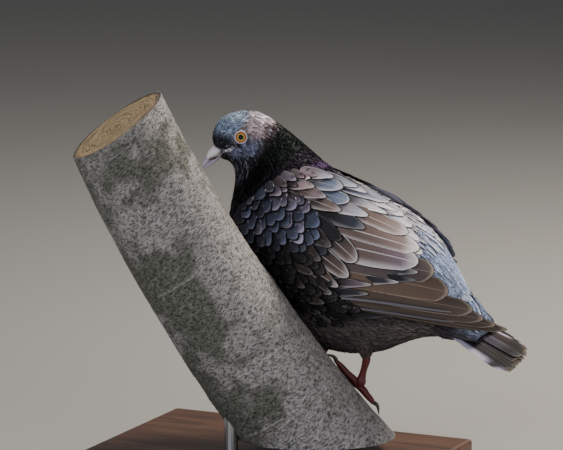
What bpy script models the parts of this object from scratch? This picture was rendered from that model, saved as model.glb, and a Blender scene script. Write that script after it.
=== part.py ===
"""Feral pigeon on a cut length of limb: a still, life-size display model.

Metres, +Z up. The bird faces -X and its left side is -Y. The origin is the centre of the
underside of the display base. Sizes below are millimetres in the bird's own frame, whose zero
lies on the mid-plane at the height of the left sole; place() takes them to the model's frame.
"""

import math

import bmesh
import bpy
import numpy as np

MM = 0.001
GAP = 0.3  # clearance that touching solids keep

# Display base and rods
BASE_LENGTH = 240.0
BASE_WIDTH = 200.0
BASE_THICKNESS = 18.0
BASE_ROUNDING = 2.5
BASE_CENTRE = (-52.0, -56.0)
BASE_TOP = -42.0
ROD_RADIUS = 5.0
ROD_DEPTH = 16.0
ROD_PLACES = {"stand_rod_front": (-66.0, -80.0), "stand_rod_back": (-4.0, -12.0)}

# Limb that serves as the perch
LIMB_RISE = math.radians(54.0)
LIMB_HEADING = math.radians(36.0)
LIMB_RADIUS_LOW = 46.5
LIMB_RADIUS_HIGH = 37.5
LIMB_TOP = 268.0
LIMB_FOOT = -62.0
LIMB_CUT_HEIGHT = BASE_TOP + 11.0
LIMB_BEND = 20.0  # how far the top leans back from a straight line
LIMB_SWEEP = 44.0  # and how far it swings out to the bird's left
LIMB_BEND_START = 30.0
LIMB_SIDES = 24
LIMB_RINGS = 12

LEFT_SOLE = (1.5, -15.0, 0.0)
# Feet: how far up the limb and how far round it from the top ridge each sole rests,
# the way its front toes point and the way its hind toe points, both from straight up the limb
FEET = {"left": (0.0, math.radians(7.0), math.radians(42.0), math.radians(200.0)),
        "right": (18.0, math.radians(55.0), math.radians(35.0), math.radians(182.0))}
TOES = {"inner": (24.0, 30.0), "middle": (30.0, 0.0), "outer": (25.0, -30.0), "hind": (15.0, 0.0)}
TOE_RADIUS = 2.5
CLAW_LENGTH = 8.5
CLAW_RADIUS = 1.25
PAD_HEIGHT = 7.0
ANKLE_RISES = {"left": (5.0, 0.5, 19.5), "right": (7.0, 4.0, 18.0)}
HIPS = {"left": (8.0, -16.0, 62.0), "right": (-14.0, 14.0, 62.0)}
SHANK_RADIUS = 2.4
THIGH_RADII = (14.0, 14.5, 12.5, 8.8, 5.4, 3.7)
THIGH_LIFT = 1.8  # the thigh's feathering ends this far above the bare ankle

# Body: one loft from the face to the root of the tail. Each station is a ring through a point on
# the back and a point on the underside: back x, z; underside x, z; half-width; waist.
# A waist above zero puts the widest part nearer the back.
BODY_STATIONS = (
    (-112.4, 170.0, -108.6, 161.6, 4.6, 0.00),
    (-113.4, 176.5, -106.6, 160.2, 8.6, 0.00),
    (-111.0, 184.0, -102.6, 159.0, 11.6, -0.05),
    (-105.8, 189.7, -99.8, 156.6, 13.2, -0.08),
    (-98.2, 193.2, -97.9, 153.0, 13.9, -0.08),
    (-88.8, 194.5, -97.2, 148.6, 14.4, -0.05),
    (-79.4, 193.0, -97.4, 143.6, 15.2, -0.05),
    (-71.2, 188.6, -98.2, 137.6, 16.8, -0.05),
    (-63.4, 182.6, -99.4, 130.5, 19.6, -0.05),
    (-55.6, 176.2, -100.8, 122.0, 25.5, -0.05),
    (-46.4, 168.6, -102.0, 112.0, 33.0, 0.00),
    (-34.0, 158.6, -102.6, 99.0, 39.5, 0.05),
    (-17.0, 149.0, -100.6, 82.0, 42.5, 0.08),
    (0.0, 141.5, -92.0, 64.0, 43.5, 0.12),
    (15.0, 135.0, -74.5, 45.3, 43.0, 0.13),
    (27.5, 129.5, -51.0, 32.2, 41.5, 0.11),
    (38.5, 123.5, -27.0, 26.0, 40.5, 0.06),
    (49.0, 115.5, -4.0, 24.5, 37.0, 0.04),
    (58.5, 106.0, 16.0, 28.0, 32.5, 0.00),
    (67.0, 94.5, 33.0, 35.5, 27.0, 0.00),
    (75.0, 81.5, 49.0, 41.0, 22.0, 0.00),
    (82.5, 69.0, 64.0, 43.0, 16.5, 0.00),
)
BODY_SIDES = 18
HEAD_END, NECK_END = 7.0, 11.0  # stations where the head and the neck end
HEAD_TURN = math.radians(25.0)  # the head looks this far to the bird's left
HEAD_PIVOT = -66.0

# Bill, cere and eyes, in the head's own plane before it is turned
BILL_TIP = (-120.8, 154.4)
BILL_BASE = (-110.4, 165.4)
BILL_HALF_WIDTH = 3.4
EYE_CENTRE = (-93.3, 8.6, 177.2)
EYE_RADIUS = 5.4

# Wing: arm and coverts. Stations from the wrist back: upper edge x, y, z; lower edge x, y, z;
# and how far the section bulges out. Written for the left wing.
WING_STATIONS = (
    (-86.0, -29.0, 125.0, -87.0, -31.0, 114.0, 5.0),
    (-76.0, -22.0, 142.0, -84.0, -35.0, 93.0, 13.0),
    (-55.0, -13.0, 155.0, -71.0, -36.0, 80.0, 22.0),
    (-29.0, -10.0, 155.5, -50.0, -37.5, 69.5, 26.0),
    (-3.0, -9.0, 147.5, -27.0, -38.5, 61.0, 27.0),
    (20.0, -10.0, 137.5, 0.0, -39.0, 56.0, 26.0),
    (38.0, -13.0, 127.0, 27.0, -38.0, 56.0, 21.0),
    (50.0, -19.0, 116.0, 47.0, -36.0, 62.0, 14.0),
    (56.5, -25.0, 106.0, 58.0, -33.0, 84.0, 5.0),
)
WING_POINTS = 8  # across the outer face of a section, and as many across the inner one
WING_THICKNESS = 20.0
WING_EDGE = 0.8
WING_SHOULDER = (-80.0, 122.0)
WING_DROOP = {"left": 0.0, "right": math.radians(2.3)}  # the right wing hangs lower behind
FLIGHT_DROOP = {"left": 0.0, "right": math.radians(6.5)}

# Flight feathers of the left wing, from the innermost tertial down to the outermost primary:
# root y, z; tip x, y, z; half-width; tilt in degrees of the vane from upright.
FLIGHT_FEATHERS = (
    (-34.0, 97.0, 67.0, -23.5, 91.0, 11.0, 24.0),
    (-35.5, 90.0, 77.0, -25.5, 79.0, 12.0, 20.0),
    (-36.5, 82.0, 95.0, -27.0, 67.5, 10.5, 16.0),
    (-37.2, 75.0, 103.0, -28.0, 62.0, 8.5, 13.0),
    (-37.6, 70.0, 112.0, -28.5, 58.0, 7.0, 11.0),
    (-37.9, 67.0, 121.0, -28.3, 54.5, 5.5, 9.0),
    (-38.2, 65.0, 100.0, -30.0, 56.0, 6.0, 8.0),
    (-38.3, 64.0, 110.0, -29.3, 54.5, 5.0, 8.0),
)
FLIGHT_ROOT_X = 4.0
VANE_THICKNESS = 2.0
VANE_EDGE = 0.6  # share of the thickness left along a vane's edges
VANE_PLACES = (0.0, 0.4, 0.75, 0.93, 1.0)  # along a vane, where its width is given
FLIGHT_FULLNESS = (0.62, 0.92, 1.0, 0.82, 0.45)

# Tail: twelve feathers in a half-open, swung and rolled stack
TAIL_FEATHERS = 12
TAIL_ROOT = (66.0, 0.0, 58.0)
TAIL_LENGTH = 66.0
TAIL_SKEW = 0.09  # the right side shows shorter than the left by this share each way
TAIL_HALF_WIDTH = 9.0
TAIL_FAN = math.radians(9.5)
TAIL_SWING = math.radians(-9.5)
TAIL_DROP = math.radians(21.5)
TAIL_ROLL = math.radians(10.0)
TAIL_THICKNESS = 1.4
TAIL_FULLNESS = (0.55, 0.92, 1.0, 0.87, 0.55)


def place(points):
    """Bird frame in millimetres to the model's frame in metres."""
    shift = np.array([-BASE_CENTRE[0], -BASE_CENTRE[1], BASE_THICKNESS - BASE_TOP])
    return (np.asarray(points, float) + shift) * MM


# Materials

def finish(name, colour, roughness, metallic=0.0):
    material = bpy.data.materials.new(name)
    material.use_nodes = True
    shader = material.node_tree.nodes["Principled BSDF"]
    shader.inputs["Base Color"].default_value = (*colour, 1.0)
    shader.inputs["Roughness"].default_value = roughness
    shader.inputs["Metallic"].default_value = metallic
    material.diffuse_color = (*colour, 1.0)
    return material


# Meshes, guides and Booleans

def add_object(name, mesh, material, collection):
    obj = bpy.data.objects.new(name, mesh)
    if material:
        mesh.materials.append(material)
    collection.objects.link(obj)
    mesh.shade_smooth()
    return obj


def loft(name, rings, material, collection):
    """Close a stack of rings (n, sides, 3), in the bird frame, into a capped solid."""
    rings = np.asarray(rings, float)
    count, sides = rings.shape[:2]
    points = np.vstack([rings.reshape(-1, 3), rings[0].mean(0), rings[-1].mean(0)])
    faces = []
    for i in range(count - 1):
        for j in range(sides):
            k = (j + 1) % sides
            faces.append((i * sides + j, i * sides + k, (i + 1) * sides + k, (i + 1) * sides + j))
    front, back = count * sides, count * sides + 1
    last = (count - 1) * sides
    for j in range(sides):
        k = (j + 1) % sides
        faces.append((front, k, j))
        faces.append((back, last + j, last + k))
    mesh = bpy.data.meshes.new(name)
    mesh.from_pydata(place(points).tolist(), [], faces)
    tidy = bmesh.new()
    tidy.from_mesh(mesh)
    bmesh.ops.triangulate(tidy, faces=tidy.faces)
    bmesh.ops.recalc_face_normals(tidy, faces=tidy.faces)
    tidy.to_mesh(mesh)
    tidy.free()
    return add_object(name, mesh, material, collection)


def hide_guide(obj):
    obj.hide_render = True
    obj.display_type = "WIRE"
    return obj


def room(name, obj, guides, gap=GAP):
    """A guide shaped like obj but swollen by the gap, to cut neighbours with."""
    mesh = obj.data.copy()
    mesh.materials.clear()
    shape = bmesh.new()
    shape.from_mesh(mesh)
    shape.normal_update()
    for vertex in shape.verts:
        vertex.co += vertex.normal * gap * MM
    shape.to_mesh(mesh)
    shape.free()
    return hide_guide(add_object(name, mesh, None, guides))


def combine(target, operation, other):
    """Boolean of target with an object, or with every object of a collection."""
    modifier = target.modifiers.new(operation.lower(), "BOOLEAN")
    modifier.operation = operation
    modifier.solver = "EXACT"
    if isinstance(other, bpy.types.Collection):
        modifier.operand_type = "COLLECTION"
        modifier.collection = other
    else:
        modifier.object = other


# Curves

def spline(rows, steps):
    """Catmull-Rom curve through rows, with the given number of steps between two rows."""
    rows = np.asarray(rows, float)
    ends = np.vstack([2 * rows[0] - rows[1], rows, 2 * rows[-1] - rows[-2]])
    out = []
    for i in range(len(rows) - 1):
        a, b, c, d = ends[i:i + 4]
        for step in range(steps):
            t = step / steps
            out.append(0.5 * (2 * b + (c - a) * t + (2 * a - 5 * b + 4 * c - d) * t ** 2
                              + (3 * b - a - 3 * c + d) * t ** 3))
    out.append(rows[-1])
    return np.array(out)


def unit(vector):
    vector = np.asarray(vector, float)
    return vector / np.linalg.norm(vector)


def turn_head(points, share=1.0):
    """Turn points about the neck's upright axis by a share of the head's turn."""
    points = np.asarray(points, float)
    angle = HEAD_TURN * share
    forward = points[..., 0] - HEAD_PIVOT
    out = points.copy()
    out[..., 0] = HEAD_PIVOT + forward * math.cos(angle) - points[..., 1] * math.sin(angle)
    out[..., 1] = forward * math.sin(angle) + points[..., 1] * math.cos(angle)
    return out


def tube_rings(path, radii, sides, flatten=1.0):
    """Round rings along a path of 3-D points; flatten squeezes them upright."""
    path = np.asarray(path, float)
    rings = []
    for i, point in enumerate(path):
        ahead = unit(path[min(i + 1, len(path) - 1)] - path[max(i - 1, 0)])
        side = unit(np.cross(ahead, [0.13, 0.21, 1.0]))
        top = np.cross(side, ahead)
        angles = np.arange(sides) * 2 * math.pi / sides
        rings.append(point + radii[i] * (np.outer(np.cos(angles), side)
                                         + flatten * np.outer(np.sin(angles), top)))
    return np.array(rings)


# Body

def body_rings(first, last):
    """Rings of the body loft from one station to another, each turned by its share of the neck."""
    steps = 2
    rows = spline(BODY_STATIONS, steps)
    stations = np.arange(len(rows)) / steps
    angles = np.arange(BODY_SIDES) * 2 * math.pi / BODY_SIDES
    rings = []
    for station, (bx, bz, ux, uz, half, waist) in zip(stations, rows):
        if not first <= station <= last:
            continue
        share = (1 + np.cos(angles)) / 2
        ring = np.empty((BODY_SIDES, 3))
        ring[:, 0] = ux + (bx - ux) * share
        ring[:, 1] = half * np.sin(angles) * (1 + waist * np.cos(angles))
        ring[:, 2] = uz + (bz - uz) * share
        ease = min(max((NECK_END - station) / (NECK_END - HEAD_END), 0.0), 1.0)
        rings.append(turn_head(ring, ease * ease * (3 - 2 * ease)))
    return np.array(rings)


def shave_ends(rings, front, back):
    """Move the end rings of a piece inwards along the body, to part it from its neighbour."""
    rings = rings.copy()
    if front:
        step = rings[1] - rings[0]
        rings[0] += step * front / np.linalg.norm(step, axis=1, keepdims=True)
    if back:
        step = rings[-2] - rings[-1]
        rings[-1] += step * back / np.linalg.norm(step, axis=1, keepdims=True)
    return rings


def build_body(finishes, parts, guides):
    tail_end = len(BODY_STATIONS) - 1
    head = loft("head", shave_ends(body_rings(0, HEAD_END), 0, GAP), finishes["head"], parts)
    loft("neck", shave_ends(body_rings(HEAD_END, NECK_END), GAP, GAP), finishes["neck"], parts)
    loft("trunk", shave_ends(body_rings(NECK_END, tail_end), GAP, 0), finishes["trunk"], parts)
    whole = loft("body_form", body_rings(HEAD_END, tail_end), None, guides)
    hide_guide(whole)
    body_room = room("body_room", whole, guides)
    return head, body_room


# Head: eyes, bill and cere

def build_eyes(head, finishes, parts, guides):
    x, y, z = EYE_CENTRE
    for side, sign in (("left", -1), ("right", 1)):
        centre = place(turn_head([x, sign * y, z]))
        for name, radius, collection in ((f"eye_{side}", EYE_RADIUS, parts),
                                         (f"eye_room_{side}", EYE_RADIUS + GAP, guides)):
            mesh = bpy.data.meshes.new(name)
            ball = bmesh.new()
            bmesh.ops.create_uvsphere(ball, u_segments=12, v_segments=8, radius=radius * MM)
            bmesh.ops.translate(ball, verts=ball.verts, vec=centre.tolist())
            ball.to_mesh(mesh)
            ball.free()
            eye = add_object(name, mesh, finishes["eye"] if collection is parts else None, collection)
            if collection is guides:
                combine(head, "DIFFERENCE", hide_guide(eye))


def bill_rings(top, bottom, widths, sides=10):
    """Rings of a mandible from matching points on its ridge and its lower edge."""
    angles = np.arange(sides) * 2 * math.pi / sides
    rings = []
    for (tx, tz), (bx, bz), half in zip(top, bottom, widths):
        share = (1 + np.cos(angles)) / 2
        ring = np.stack([bx + (tx - bx) * share, half * np.sin(angles), bz + (tz - bz) * share], 1)
        rings.append(turn_head(ring))
    return rings


def build_bill(head, finishes, parts, guides):
    (tip_x, tip_z), (base_x, base_z) = BILL_TIP, BILL_BASE
    run, fall = tip_x - base_x, tip_z - base_z
    length = math.hypot(run, fall)
    along = np.array([run, fall]) / length
    rise = np.array([along[1], -along[0]])

    def at(share, height):
        return tuple(np.array([base_x, base_z]) + along * share * length + rise * height)

    head_room = room("head_room", head, guides)
    shares = (-0.3, 0.15, 0.35, 0.6, 0.82, 0.95, 1.03)
    ridge = (2.2, 2.2, 2.2, 2.2, 2.0, 1.2, -0.3)
    gape = (-1.6, -1.6, -1.4, -1.2, -1.0, -1.3, -1.7)
    keel = (-5.0, -5.0, -4.8, -4.2, -3.3, -2.4)
    width = [BILL_HALF_WIDTH * w for w in (1.0, 1.0, 0.88, 0.75, 0.6, 0.42, 0.18)]
    upper = loft("upper_bill", bill_rings([at(s, h) for s, h in zip(shares, ridge)],
                                          [at(s, h) for s, h in zip(shares, gape)], width),
                 finishes["bill"], parts)
    split = [g - GAP for g in gape[:-1]]
    lower = loft("lower_bill", bill_rings([at(s, h) for s, h in zip(shares, split)],
                                          [at(s, h) for s, h in zip(shares, keel)], width[:-1]),
                 finishes["bill"], parts)
    cere = (-0.2, 0.12, 0.3, 0.46, 0.56)
    foot = [2.2 + GAP] * len(cere)
    crest = (3.2, 4.2, 4.6, 3.9, 2.9)
    spread = [BILL_HALF_WIDTH * w for w in (0.7, 1.0, 1.05, 0.85, 0.45)]
    swelling = loft("cere", bill_rings([at(s, h) for s, h in zip(cere, crest)],
                                       [at(s, h) for s, h in zip(cere, foot)], spread),
                    finishes["cere"], parts)
    for piece in (upper, lower, swelling):
        combine(piece, "DIFFERENCE", head_room)


# Wings

def hang_wing(rings, side, angle):
    """Set left-wing rings on a side: mirrored for the right one, and drooped about the shoulder."""
    rings = np.array(rings, float)
    if side == "right":
        rings[..., 1] *= -1.0
    ahead, above = rings[..., 0] - WING_SHOULDER[0], rings[..., 2] - WING_SHOULDER[1]
    rings[..., 0] = WING_SHOULDER[0] + ahead * math.cos(angle) + above * math.sin(angle)
    rings[..., 2] = WING_SHOULDER[1] - ahead * math.sin(angle) + above * math.cos(angle)
    return rings


def arm_rings():
    """Sections of the folded wing: an arc bulging out from its upper to its lower edge."""
    rows = spline(WING_STATIONS, 2)
    run = np.linspace(0.0, 1.0, WING_POINTS)
    outward = unit([0.0, -0.9, 0.43])
    rings = []
    for row in rows:
        upper, lower, bulge = row[:3], row[3:6], row[6]
        crown = np.sin(math.pi * run) ** 0.8
        outer = upper + np.outer(run, lower - upper) + np.outer(bulge * crown, outward)
        depth = WING_EDGE + WING_THICKNESS * np.minimum(bulge / 20.0, 1.0) * crown
        inner = outer - np.outer(depth, outward)
        rings.append(np.vstack([outer, inner[::-1]]))
    return np.array(rings)


def vane_rings(root, tip, half_width, thickness, normal, fullness):
    """A flat feather from root to tip: a thin lens whose width follows the fullness list."""
    root, tip = np.asarray(root, float), np.asarray(tip, float)
    along = unit(tip - root)
    side = unit(np.cross(along, normal))
    face = np.cross(side, along)
    rise = thickness / 2 * face
    edge = VANE_EDGE * rise
    rings = []
    for share, full in zip(VANE_PLACES, fullness):
        centre = root + (tip - root) * share
        half = half_width * full * side
        rings.append([centre - half + edge, centre + rise, centre + half + edge,
                      centre + half - edge, centre - rise, centre - half - edge])
    return np.array(rings)


def flight_vane(i):
    """Flight feather i of the left wing."""
    root_y, root_z, *tip, half_width, tilt = FLIGHT_FEATHERS[i]
    tilt = math.radians(tilt)
    return vane_rings((FLIGHT_ROOT_X, root_y, root_z), tip, half_width, VANE_THICKNESS,
                      (0.05, -math.cos(tilt), math.sin(tilt)), FLIGHT_FULLNESS)


def build_wings(body_room, finishes, parts, guides):
    for side in ("left", "right"):
        arm = loft(f"wing_{side}", hang_wing(arm_rings(), side, WING_DROOP[side]), finishes["wing"], parts)
        arm_room = room(f"wing_room_{side}", arm, guides)
        combine(arm, "DIFFERENCE", body_room)
        group = bpy.data.collections.new(f"flight_vanes_{side}")
        guides.children.link(group)
        vanes = [hang_wing(flight_vane(i), side, FLIGHT_DROOP[side])
                 for i in range(len(FLIGHT_FEATHERS))]
        flight = loft(f"flight_{side}", vanes[0], finishes["flight"], parts)
        for i, rings in enumerate(vanes[1:], 1):
            hide_guide(loft(f"flight_vane_{side}_{i}", rings, None, group))
        combine(flight, "UNION", group)
        combine(flight, "DIFFERENCE", arm_room)
        combine(flight, "DIFFERENCE", body_room)


# Tail

def tail_vane(i):
    """Feather i of the tail: fanned about the root, each a little lower than its inner neighbour."""
    share = 2 * i / (TAIL_FEATHERS - 1) - 1
    angle = TAIL_FAN * share
    length = TAIL_LENGTH * (1 - 0.04 * share * share - TAIL_SKEW * share)
    root = np.array([0.0, 6.0 * share, -2.2 * abs(share)])
    tip = root + length * np.array([math.cos(angle), math.sin(angle), 0.0])
    rings = vane_rings(root, tip, TAIL_HALF_WIDTH, TAIL_THICKNESS, (0.0, 0.0, 1.0), TAIL_FULLNESS)
    roll, drop, swing = TAIL_ROLL, TAIL_DROP, TAIL_SWING
    tilt = np.array([[1, 0, 0], [0, math.cos(roll), -math.sin(roll)],
                     [0, math.sin(roll), math.cos(roll)]])
    pitch = np.array([[math.cos(drop), 0, math.sin(drop)], [0, 1, 0],
                      [-math.sin(drop), 0, math.cos(drop)]])
    yaw = np.array([[math.cos(swing), -math.sin(swing), 0],
                    [math.sin(swing), math.cos(swing), 0], [0, 0, 1]])
    return rings @ (yaw @ pitch @ tilt).T + np.array(TAIL_ROOT)


def build_tail(body_room, finishes, parts, guides):
    group = bpy.data.collections.new("tail_vanes")
    guides.children.link(group)
    tail = loft("tail", tail_vane(0), finishes["tail"], parts)
    for i in range(1, TAIL_FEATHERS):
        hide_guide(loft(f"tail_vane_{i}", tail_vane(i), None, group))
    combine(tail, "UNION", group)
    combine(tail, "DIFFERENCE", body_room)


# Limb, legs and stand

def limb_frame():
    """Unit vectors up the limb, out of its top ridge, and round to its far side."""
    up = np.array([-math.cos(LIMB_RISE) * math.cos(LIMB_HEADING),
                   -math.cos(LIMB_RISE) * math.sin(LIMB_HEADING), math.sin(LIMB_RISE)])
    far = unit(np.cross(up, [0.0, 0.0, 1.0]))
    return up, np.cross(far, up), far


def limb_radius(distance):
    share = np.clip((distance - LIMB_FOOT) / (LIMB_TOP - LIMB_FOOT), 0.0, 1.0)
    return LIMB_RADIUS_LOW + (LIMB_RADIUS_HIGH - LIMB_RADIUS_LOW) * share


def limb_axis(distance):
    up, ridge, far = limb_frame()
    angle = FEET["left"][1]
    out = math.cos(angle) * ridge + math.sin(angle) * far
    start = np.array(LEFT_SOLE) - limb_radius(0.0) * out
    reach = LIMB_TOP - LIMB_BEND_START
    bend = ((distance - LIMB_BEND_START) ** 2 - LIMB_BEND_START ** 2) / reach ** 2
    return start + distance * up + bend * (LIMB_BEND * ridge - LIMB_SWEEP * far)


def limb_point(distance, angle, lift=0.0):
    """Point on the limb's surface, or lifted off it, at an angle round from the top ridge."""
    _, ridge, far = limb_frame()
    out = math.cos(angle) * ridge + math.sin(angle) * far
    return limb_axis(distance) + (limb_radius(distance) + lift) * out


def build_limb(finishes, parts, guides):
    angles = np.arange(LIMB_SIDES) * 2 * math.pi / LIMB_SIDES
    distances = np.linspace(LIMB_FOOT, LIMB_TOP, LIMB_RINGS)
    rings = [[limb_point(d, a) for a in angles] for d in distances]
    limb = loft("perch_branch", rings, finishes["bark"], parts)
    mesh = bpy.data.meshes.new("limb_foot_cut")
    block = bmesh.new()
    size = 340.0
    bmesh.ops.create_cube(block, size=size * MM)
    low = place([BASE_CENTRE[0], BASE_CENTRE[1], LIMB_CUT_HEIGHT - size / 2])
    bmesh.ops.translate(block, verts=block.verts, vec=low.tolist())
    block.to_mesh(mesh)
    block.free()
    cut = hide_guide(add_object("limb_foot_cut", mesh, None, guides))
    combine(limb, "DIFFERENCE", cut)
    return limb


def toe_path(side, toe, first, last, steps, lifts):
    """Points along a toe from one length to another, lifted off the limb it lies on."""
    distance, angle, front, hind = FEET[side]
    mirror = 1.0 if side == "left" else -1.0
    heading = hind if toe == "hind" else front + math.radians(TOES[toe][1]) * mirror
    path = []
    for length, lift in zip(np.linspace(first, last, steps), lifts):
        path.append(limb_point(distance + length * math.cos(heading),
                               angle + length * math.sin(heading) / limb_radius(distance), lift))
    return path


def build_legs(body_room, finishes, parts, guides):
    for side, (distance, angle, _, _) in FEET.items():
        rest = TOE_RADIUS + 2 * GAP
        sole = limb_point(distance, angle, rest)
        ankle, hip = sole + ANKLE_RISES[side], np.array(HIPS[side])
        up = unit(ankle - sole)
        pad = tube_rings([sole - up, sole + 0.5 * PAD_HEIGHT * up, sole + PAD_HEIGHT * up],
                         (2.2, 3.8, SHANK_RADIUS * 1.15), 10)
        foot = loft(f"foot_{side}", pad, finishes["leg"], parts)
        group = bpy.data.collections.new(f"toes_{side}")
        guides.children.link(group)
        for toe, (length, _) in TOES.items():
            path = toe_path(side, toe, 0.0, length, 5, [rest, rest + 0.4, rest, rest, rest - 0.2])
            radii = TOE_RADIUS * np.array([1.0, 1.1, 0.97, 0.88, 0.6])
            hide_guide(loft(f"toe_{side}_{toe}", tube_rings(path, radii, 7), None, group))
            start = length + 1.6 * GAP
            lifts = [rest - 0.2, rest + 0.5, rest + 0.1, rest - 1.3, rest - 2.3]
            path = toe_path(side, toe, start, start + CLAW_LENGTH, 5, lifts)
            radii = CLAW_RADIUS * np.array([1.0, 0.95, 0.75, 0.5, 0.25])
            loft(f"claw_{side}_{toe}", tube_rings(path, radii, 6), finishes["claw"], parts)
        combine(foot, "UNION", group)
        shank = [sole + (PAD_HEIGHT + GAP) * up, (sole + ankle) / 2 + 2 * up, ankle - GAP * up]
        loft(f"shank_{side}", tube_rings(shank, SHANK_RADIUS * np.array([1.1, 1.0, 1.25]), 10),
             finishes["leg"], parts)
        hem = ankle + THIGH_LIFT * unit(hip - ankle)
        path = [hip + (hem - hip) * share for share in np.linspace(0.0, 1.0, len(THIGH_RADII))]
        thigh = loft(f"thigh_{side}", tube_rings(path, THIGH_RADII, 14), finishes["trunk"], parts)
        combine(thigh, "DIFFERENCE", body_room)


def cylinder(name, x, y, low, high, radius, material, collection, sides=16):
    mesh = bpy.data.meshes.new(name)
    rod = bmesh.new()
    bmesh.ops.create_cone(rod, cap_ends=True, segments=sides, radius1=radius * MM,
                          radius2=radius * MM, depth=(high - low) * MM)
    centre = place([x, y, (low + high) / 2])
    bmesh.ops.translate(rod, verts=rod.verts, vec=centre.tolist())
    rod.to_mesh(mesh)
    rod.free()
    return add_object(name, mesh, material, collection)


def limb_underside(x, y):
    """Height at which an upright line through x, y first meets the limb."""
    for height in np.arange(LIMB_CUT_HEIGHT, 200.0, 0.5):
        up, _, _ = limb_frame()
        point = np.array([x, y, height])
        distance = float(np.dot(point - limb_axis(0.0), up))
        if np.linalg.norm(point - limb_axis(distance)) < limb_radius(distance):
            return height
    return LIMB_CUT_HEIGHT


def build_stand(limb, finishes, parts, guides):
    mesh = bpy.data.meshes.new("stand_base")
    slab = bmesh.new()
    bmesh.ops.create_cube(slab, size=1.0)
    for vertex in slab.verts:
        vertex.co.x *= BASE_LENGTH * MM
        vertex.co.y *= BASE_WIDTH * MM
        vertex.co.z = (vertex.co.z + 0.5) * BASE_THICKNESS * MM
    slab.to_mesh(mesh)
    slab.free()
    base = add_object("stand_base", mesh, finishes["base"], parts)
    bevel = base.modifiers.new("rounding", "BEVEL")
    bevel.width = BASE_ROUNDING * MM
    bevel.segments = 2
    for name, (x, y) in ROD_PLACES.items():
        top = limb_underside(x, y) + ROD_DEPTH
        cylinder(name, x, y, BASE_TOP + GAP, top, ROD_RADIUS, finishes["rod"], parts)
        socket = cylinder(name + "_socket", x, y, BASE_TOP - 5.0, top + GAP,
                          ROD_RADIUS + GAP, None, guides)
        combine(limb, "DIFFERENCE", hide_guide(socket))


def main():
    for obj in list(bpy.data.objects):
        bpy.data.objects.remove(obj, do_unlink=True)
    parts = bpy.data.collections.new("pigeon")
    guides = bpy.data.collections.new("guides")
    for collection in (parts, guides):
        bpy.context.scene.collection.children.link(collection)
    finishes = {
        "head": finish("head feathers", (0.25, 0.27, 0.33), 0.75),
        "neck": finish("neck feathers", (0.06, 0.09, 0.07), 0.45),
        "trunk": finish("body feathers", (0.3, 0.3, 0.33), 0.8),
        "wing": finish("wing coverts", (0.22, 0.21, 0.23), 0.7),
        "flight": finish("flight feathers", (0.1, 0.09, 0.09), 0.6),
        "tail": finish("tail feathers", (0.14, 0.14, 0.17), 0.65),
        "eye": finish("orange eye", (0.8, 0.3, 0.04), 0.1),
        "bill": finish("horn", (0.3, 0.27, 0.3), 0.4),
        "cere": finish("cere", (0.85, 0.83, 0.82), 0.6),
        "leg": finish("red scaled skin", (0.45, 0.13, 0.12), 0.5),
        "claw": finish("claw horn", (0.05, 0.045, 0.04), 0.35),
        "bark": finish("smooth bark", (0.3, 0.29, 0.25), 0.85),
        "base": finish("oiled walnut", (0.13, 0.07, 0.04), 0.45),
        "rod": finish("brushed steel", (0.6, 0.6, 0.6), 0.3, 1.0),
    }
    head, body_room = build_body(finishes, parts, guides)
    build_eyes(head, finishes, parts, guides)
    build_bill(head, finishes, parts, guides)
    build_wings(body_room, finishes, parts, guides)
    build_tail(body_room, finishes, parts, guides)
    limb = build_limb(finishes, parts, guides)
    build_legs(body_room, finishes, parts, guides)
    build_stand(limb, finishes, parts, guides)


main()
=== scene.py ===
# %% [markdown]
# # A feral pigeon on a cut limb
# A museum bird is built in layers: a soft body, then the coat of feathers laid on it tract by
# tract, then the hard parts, which are the bill, the eyes, the legs and the stand. This lesson
# follows that order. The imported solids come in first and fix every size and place.

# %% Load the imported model
from math import ceil, cos, pi, radians, sin, sqrt
import bmesh
import bpy
import numpy as np
from mathutils import Matrix


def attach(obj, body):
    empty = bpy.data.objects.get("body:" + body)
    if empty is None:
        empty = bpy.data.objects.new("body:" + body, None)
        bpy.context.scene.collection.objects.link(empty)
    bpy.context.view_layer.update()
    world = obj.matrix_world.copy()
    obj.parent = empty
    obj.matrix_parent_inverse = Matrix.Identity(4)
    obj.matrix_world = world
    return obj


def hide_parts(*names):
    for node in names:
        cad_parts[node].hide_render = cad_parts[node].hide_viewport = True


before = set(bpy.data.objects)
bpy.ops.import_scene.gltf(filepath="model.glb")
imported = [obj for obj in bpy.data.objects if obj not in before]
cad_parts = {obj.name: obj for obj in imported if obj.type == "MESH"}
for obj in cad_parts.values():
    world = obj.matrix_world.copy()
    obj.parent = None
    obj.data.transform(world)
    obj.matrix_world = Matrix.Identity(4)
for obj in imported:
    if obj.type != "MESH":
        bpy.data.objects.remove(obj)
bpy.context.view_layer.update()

# %% [markdown]
# Lengths below are millimetres in the bird's own frame. The bird faces -X, its left side is -Y,
# and zero lies on its mid-plane at the height of the left sole. One function takes such points
# to the model's frame, where the zero is the middle of the base's underside. The blends and
# curves that every piece shares are set up here too.

# %% The bird's own frame
MM = 0.001
BIRD_ZERO = np.array([52.0, 56.0, 60.0])
SIDES = ("left", "right")
rng = np.random.default_rng(7)


def place(points):
    """Bird-frame millimetres to metres in the model's frame: add the zero, then scale."""
    return (np.asarray(points, float) + BIRD_ZERO) * MM


def unit(v):
    """Vectors divided by their length."""
    v = np.asarray(v, float)
    return v / np.maximum(np.linalg.norm(v, axis=-1, keepdims=True), 1e-9)


def xyz(x, y, z):
    """Points from three coordinates, each a number or an array."""
    return np.stack(np.broadcast_arrays(x, y, z), -1)


def smooth(low, high, x):
    """Zero below low, one above high, and 3t^2 - 2t^3 between."""
    t = np.clip((np.asarray(x, float) - low) / (high - low), 0.0, 1.0)
    return t * t * (3 - 2 * t)


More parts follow.
